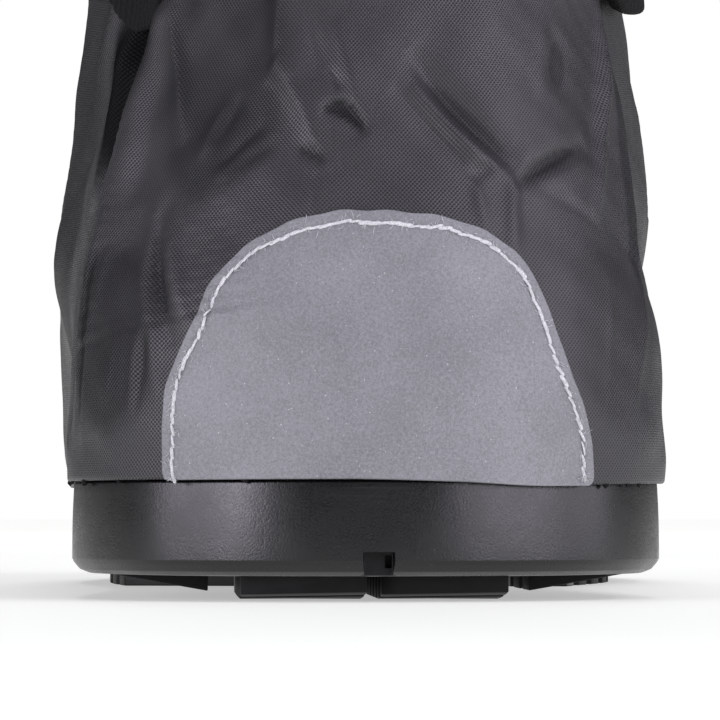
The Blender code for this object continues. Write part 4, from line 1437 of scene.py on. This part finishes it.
def strap_profile():
    """Section of the band as (lift, height) pairs: a flat face, rounded edges and a flat back."""
    angle = np.linspace(-np.pi / 2, 0, STRAP_EDGE_STEPS)
    edge_lift = STRAP_THICKNESS - STRAP_EDGE + STRAP_EDGE * np.cos(angle)
    round_low = np.stack([edge_lift, STRAP_EDGE + STRAP_EDGE * np.sin(angle)], axis=1)
    face_height = np.linspace(STRAP_EDGE, STRAP_WIDTH - STRAP_EDGE, STRAP_FACE_STEPS)
    face = np.stack([np.full(STRAP_FACE_STEPS, STRAP_THICKNESS), face_height], axis=1)
    round_high = round_low[::-1] * np.array([1, -1]) + np.array([0, STRAP_WIDTH])
    back = np.array([[0.0, STRAP_WIDTH - STRAP_EDGE], [0.0, STRAP_WIDTH / 2], [0.0, STRAP_EDGE]])
    return np.concatenate([round_low, face[1:-1], round_high, back])


def strap_mesh(settings):
    """The band: its section carried round the smooth face, a rib at every pitch, drawn in at the pleat."""
    arc = np.linspace(-HALF_LOOP, HALF_LOOP, STRAP_COLUMNS, endpoint=False)[None, :]
    turn = turn_at(arc)
    profile = strap_profile()
    lift, height = profile[:, :1], profile[:, 1:]
    drop = column(STRAP_PLACES, "arc", "drop", arc)
    level = STRAP_BOTTOM + height + STRAP_TILT * np.sin(turn) - drop
    ridge = np.maximum(-fold_depth(turn, level), 0)
    middle = upper_point(turn[0], STRAP_BOTTOM + STRAP_WIDTH / 2)
    run = run_along(middle)
    rib_count = np.round(run[-1] / (settings.rib_pitch / MM))
    rib = np.abs(np.sin(np.pi * rib_count * run / run[-1]))[None, :] * settings.rib_height / MM
    outside = ease(lift / STRAP_THICKNESS)
    moved = STRAP_LIFT + lift + ridge + rib * outside + column(STRAP_PLACES, "arc", "out", arc)
    points = upper_point(turn, level) + upper_normal(turn, level) * moved[..., None]
    return new_mesh("elastic_strap", points, quad_grid(len(profile), STRAP_COLUMNS, True, True)[0])


class OVERBOOT_OT_upper(bpy.types.Operator):
    """Makes the cloth upper with its creases and turned edge"""

    bl_idname = "overboot.make_upper"
    bl_label = "Cloth upper"

    def execute(self, context):
        settings = context.scene.overboot.upper
        material = cloth_material(settings)
        add_piece("cloth_upper", upper_mesh(settings), material, "upper")
        tuft_material = fibre_material("overboot_tufts", context.scene.overboot.strap)
        add_piece("edge_tufts", tufts_mesh(), tuft_material)
        return {"FINISHED"}


class OVERBOOT_OT_sole(bpy.types.Operator):
    """Makes the rubber sole with its notch and tread"""

    bl_idname = "overboot.make_sole"
    bl_label = "Rubber sole"

    def execute(self, context):
        settings = context.scene.overboot.sole
        piece = add_piece("rubber_outsole", sole_mesh(), rubber_material(settings), "outsole")
        piece.data.set_sharp_from_angle(angle=SHARP_ANGLE)
        # The tread and the notch take the darker rubber: painted shade under the sole and in the notch
        piece.data.materials.append(dull_shaded_rubber_material(settings))
        piece.data.polygons.foreach_set("material_index", dull_shaded_faces(piece.data))
        return {"FINISHED"}


class OVERBOOT_OT_patch(bpy.types.Operator):
    """Makes the reflective heel patch, its stitches and their stray fibres"""

    bl_idname = "overboot.make_patch"
    bl_label = "Heel patch"

    def execute(self, context):
        settings = context.scene.overboot.patch
        thread = thread_material(settings)
        cloth = reflective_material(settings)
        add_piece("reflective_patch", patch_mesh(settings), cloth, "heel_patch")
        add_piece("patch_stitches", stitches_mesh(settings), thread)
        add_piece("patch_fibres", fibres_mesh(settings), thread)
        return {"FINISHED"}


class OVERBOOT_OT_strap(bpy.types.Operator):
    """Makes the ribbed ankle strap"""

    bl_idname = "overboot.make_strap"
    bl_label = "Ankle strap"

    def execute(self, context):
        settings = context.scene.overboot.strap
        material = fibre_material("overboot_elastic", settings)
        add_piece("elastic_strap", strap_mesh(settings), material, "ankle_strap")
        return {"FINISHED"}


def add_light(name, place, aim, width, depth, brightness):
    """A rectangular lamp that faces `aim`; its power follows its size, so that brightness is per area."""
    lamp = bpy.data.lights.new(name, "AREA")
    lamp.shape = "RECTANGLE"
    lamp.size = width
    lamp.size_y = depth
    lamp.energy = WATTS_PER_BRIGHTNESS * width * depth * brightness
    lamp.color = LAMP_COLOUR
    thing = link(name, lamp)
    thing.location = place
    thing.rotation_euler = (Vector(aim) - Vector(place)).to_track_quat("-Z", "Y").to_euler()


def set_surroundings(settings):
    """White behind the boot for the camera, a soft grey room for the light."""
    world = bpy.data.worlds.new("studio")
    world.use_nodes = True
    tree = world.node_tree
    sky = tree.nodes["Background"]
    sky.inputs["Color"].default_value = (1.0, 1.0, 1.0, 1.0)
    seen = Wire(tree).node("ShaderNodeLightPath", output="Is Camera Ray")
    strength = seen * (1.0 - settings.surround) + settings.surround
    tree.links.new(strength.socket, sky.inputs["Strength"])
    bpy.context.scene.world = world


def add_camera(settings):
    """The camera behind the heel, tilted up so that the horizon falls on its row of the picture."""
    forward = Vector((np.sin(settings.camera_turn), np.cos(settings.camera_turn), 0.0))
    heel = Vector((PLAN_SHIFT[0], HEEL_ROUND + PLAN_SHIFT[1], 0.0)) * MM
    camera = link("camera", bpy.data.cameras.new("camera"))
    camera.data.sensor_width = SENSOR_WIDTH
    camera.data.lens = SENSOR_WIDTH * settings.focal_pixels / PICTURE_WIDTH
    camera.location = heel - forward * settings.camera_distance + Vector((0, 0, settings.camera_height))
    tilt = np.arctan((settings.horizon_row - PICTURE_WIDTH / 2) / settings.focal_pixels)
    yaw = np.arctan((settings.heel_column - PICTURE_WIDTH / 2) / settings.focal_pixels)
    turn = Matrix.Rotation(yaw - settings.camera_turn, 4, "Z") @ Matrix.Rotation(np.pi / 2 + tilt, 4, "X")
    camera.rotation_euler = turn.to_euler()
    camera.data.clip_start = CLIP_START
    bpy.context.scene.camera = camera


class OVERBOOT_OT_stage(bpy.types.Operator):
    """Sets the floor, the lights, the surroundings and the camera"""

    bl_idname = "overboot.set_stage"
    bl_label = "Stage"

    def execute(self, context):
        settings = context.scene.overboot.stage
        side = np.array([-FLOOR_HALF, FLOOR_HALF])
        corners = np.stack(np.broadcast_arrays(side[None, :], side[:, None], 0.0), axis=-1)
        mesh = bpy.data.meshes.new("floor")
        mesh.from_pydata(corners.reshape(-1, 3).tolist(), [], quad_grid(2, 2)[0].tolist())
        mesh.materials.append(floor_material(settings))
        floor = link("floor", mesh)
        for box in SOFTBOXES:
            angle = np.radians(box.turn)
            place = Vector((np.sin(angle), -np.cos(angle), 0.0)) * box.distance
            place = place + Vector((LIGHT_AIM[0], LIGHT_AIM[1], box.height))
            add_light(box.name, place, LIGHT_AIM, box.width, box.depth, box.brightness)
        above = (LIGHT_AIM[0], LIGHT_AIM[1] - OVERHEAD_BACK, OVERHEAD_HEIGHT)
        add_light("overhead", above, LIGHT_AIM, OVERHEAD_SIZE, OVERHEAD_SIZE, OVERHEAD_BRIGHTNESS)
        set_surroundings(settings)
        add_camera(settings)
        context.scene.view_settings.view_transform = "Standard"
        return {"FINISHED"}


class OVERBOOT_PT_pieces(bpy.types.Panel):
    """Lists the overboot's settings and the pieces that can be made."""

    bl_label = "Overboot"
    bl_space_type = "VIEW_3D"
    bl_region_type = "UI"
    bl_category = "Overboot"

    def draw(self, context):
        settings = context.scene.overboot
        for name, operator in PANEL_ROWS:
            box = self.layout.box()
            group = getattr(settings, name)
            for size in group.__annotations__:
                box.prop(group, size)
            box.operator(operator.bl_idname)


PANEL_ROWS = [
    ("upper", OVERBOOT_OT_upper),
    ("sole", OVERBOOT_OT_sole),
    ("patch", OVERBOOT_OT_patch),
    ("strap", OVERBOOT_OT_strap),
    ("stage", OVERBOOT_OT_stage),
]
CLASSES = [
    UpperSettings,
    SoleSettings,
    PatchSettings,
    StrapSettings,
    StageSettings,
    OverbootSettings,
    *(operator for _, operator in PANEL_ROWS),
    OVERBOOT_PT_pieces,
]


def register():
    for each in CLASSES:
        bpy.utils.register_class(each)
    bpy.types.Scene.overboot = bpy.props.PointerProperty(
        type=OverbootSettings, name="Overboot", description="Settings of the overboot"
    )


def unregister():
    del bpy.types.Scene.overboot
    for each in reversed(CLASSES):
        bpy.utils.unregister_class(each)


def main():
    register()
    bpy.ops.overboot.make_upper()
    bpy.ops.overboot.make_sole()
    bpy.ops.overboot.make_patch()
    bpy.ops.overboot.make_strap()
    bpy.ops.overboot.set_stage()


if __name__ == "__main__":
    main()
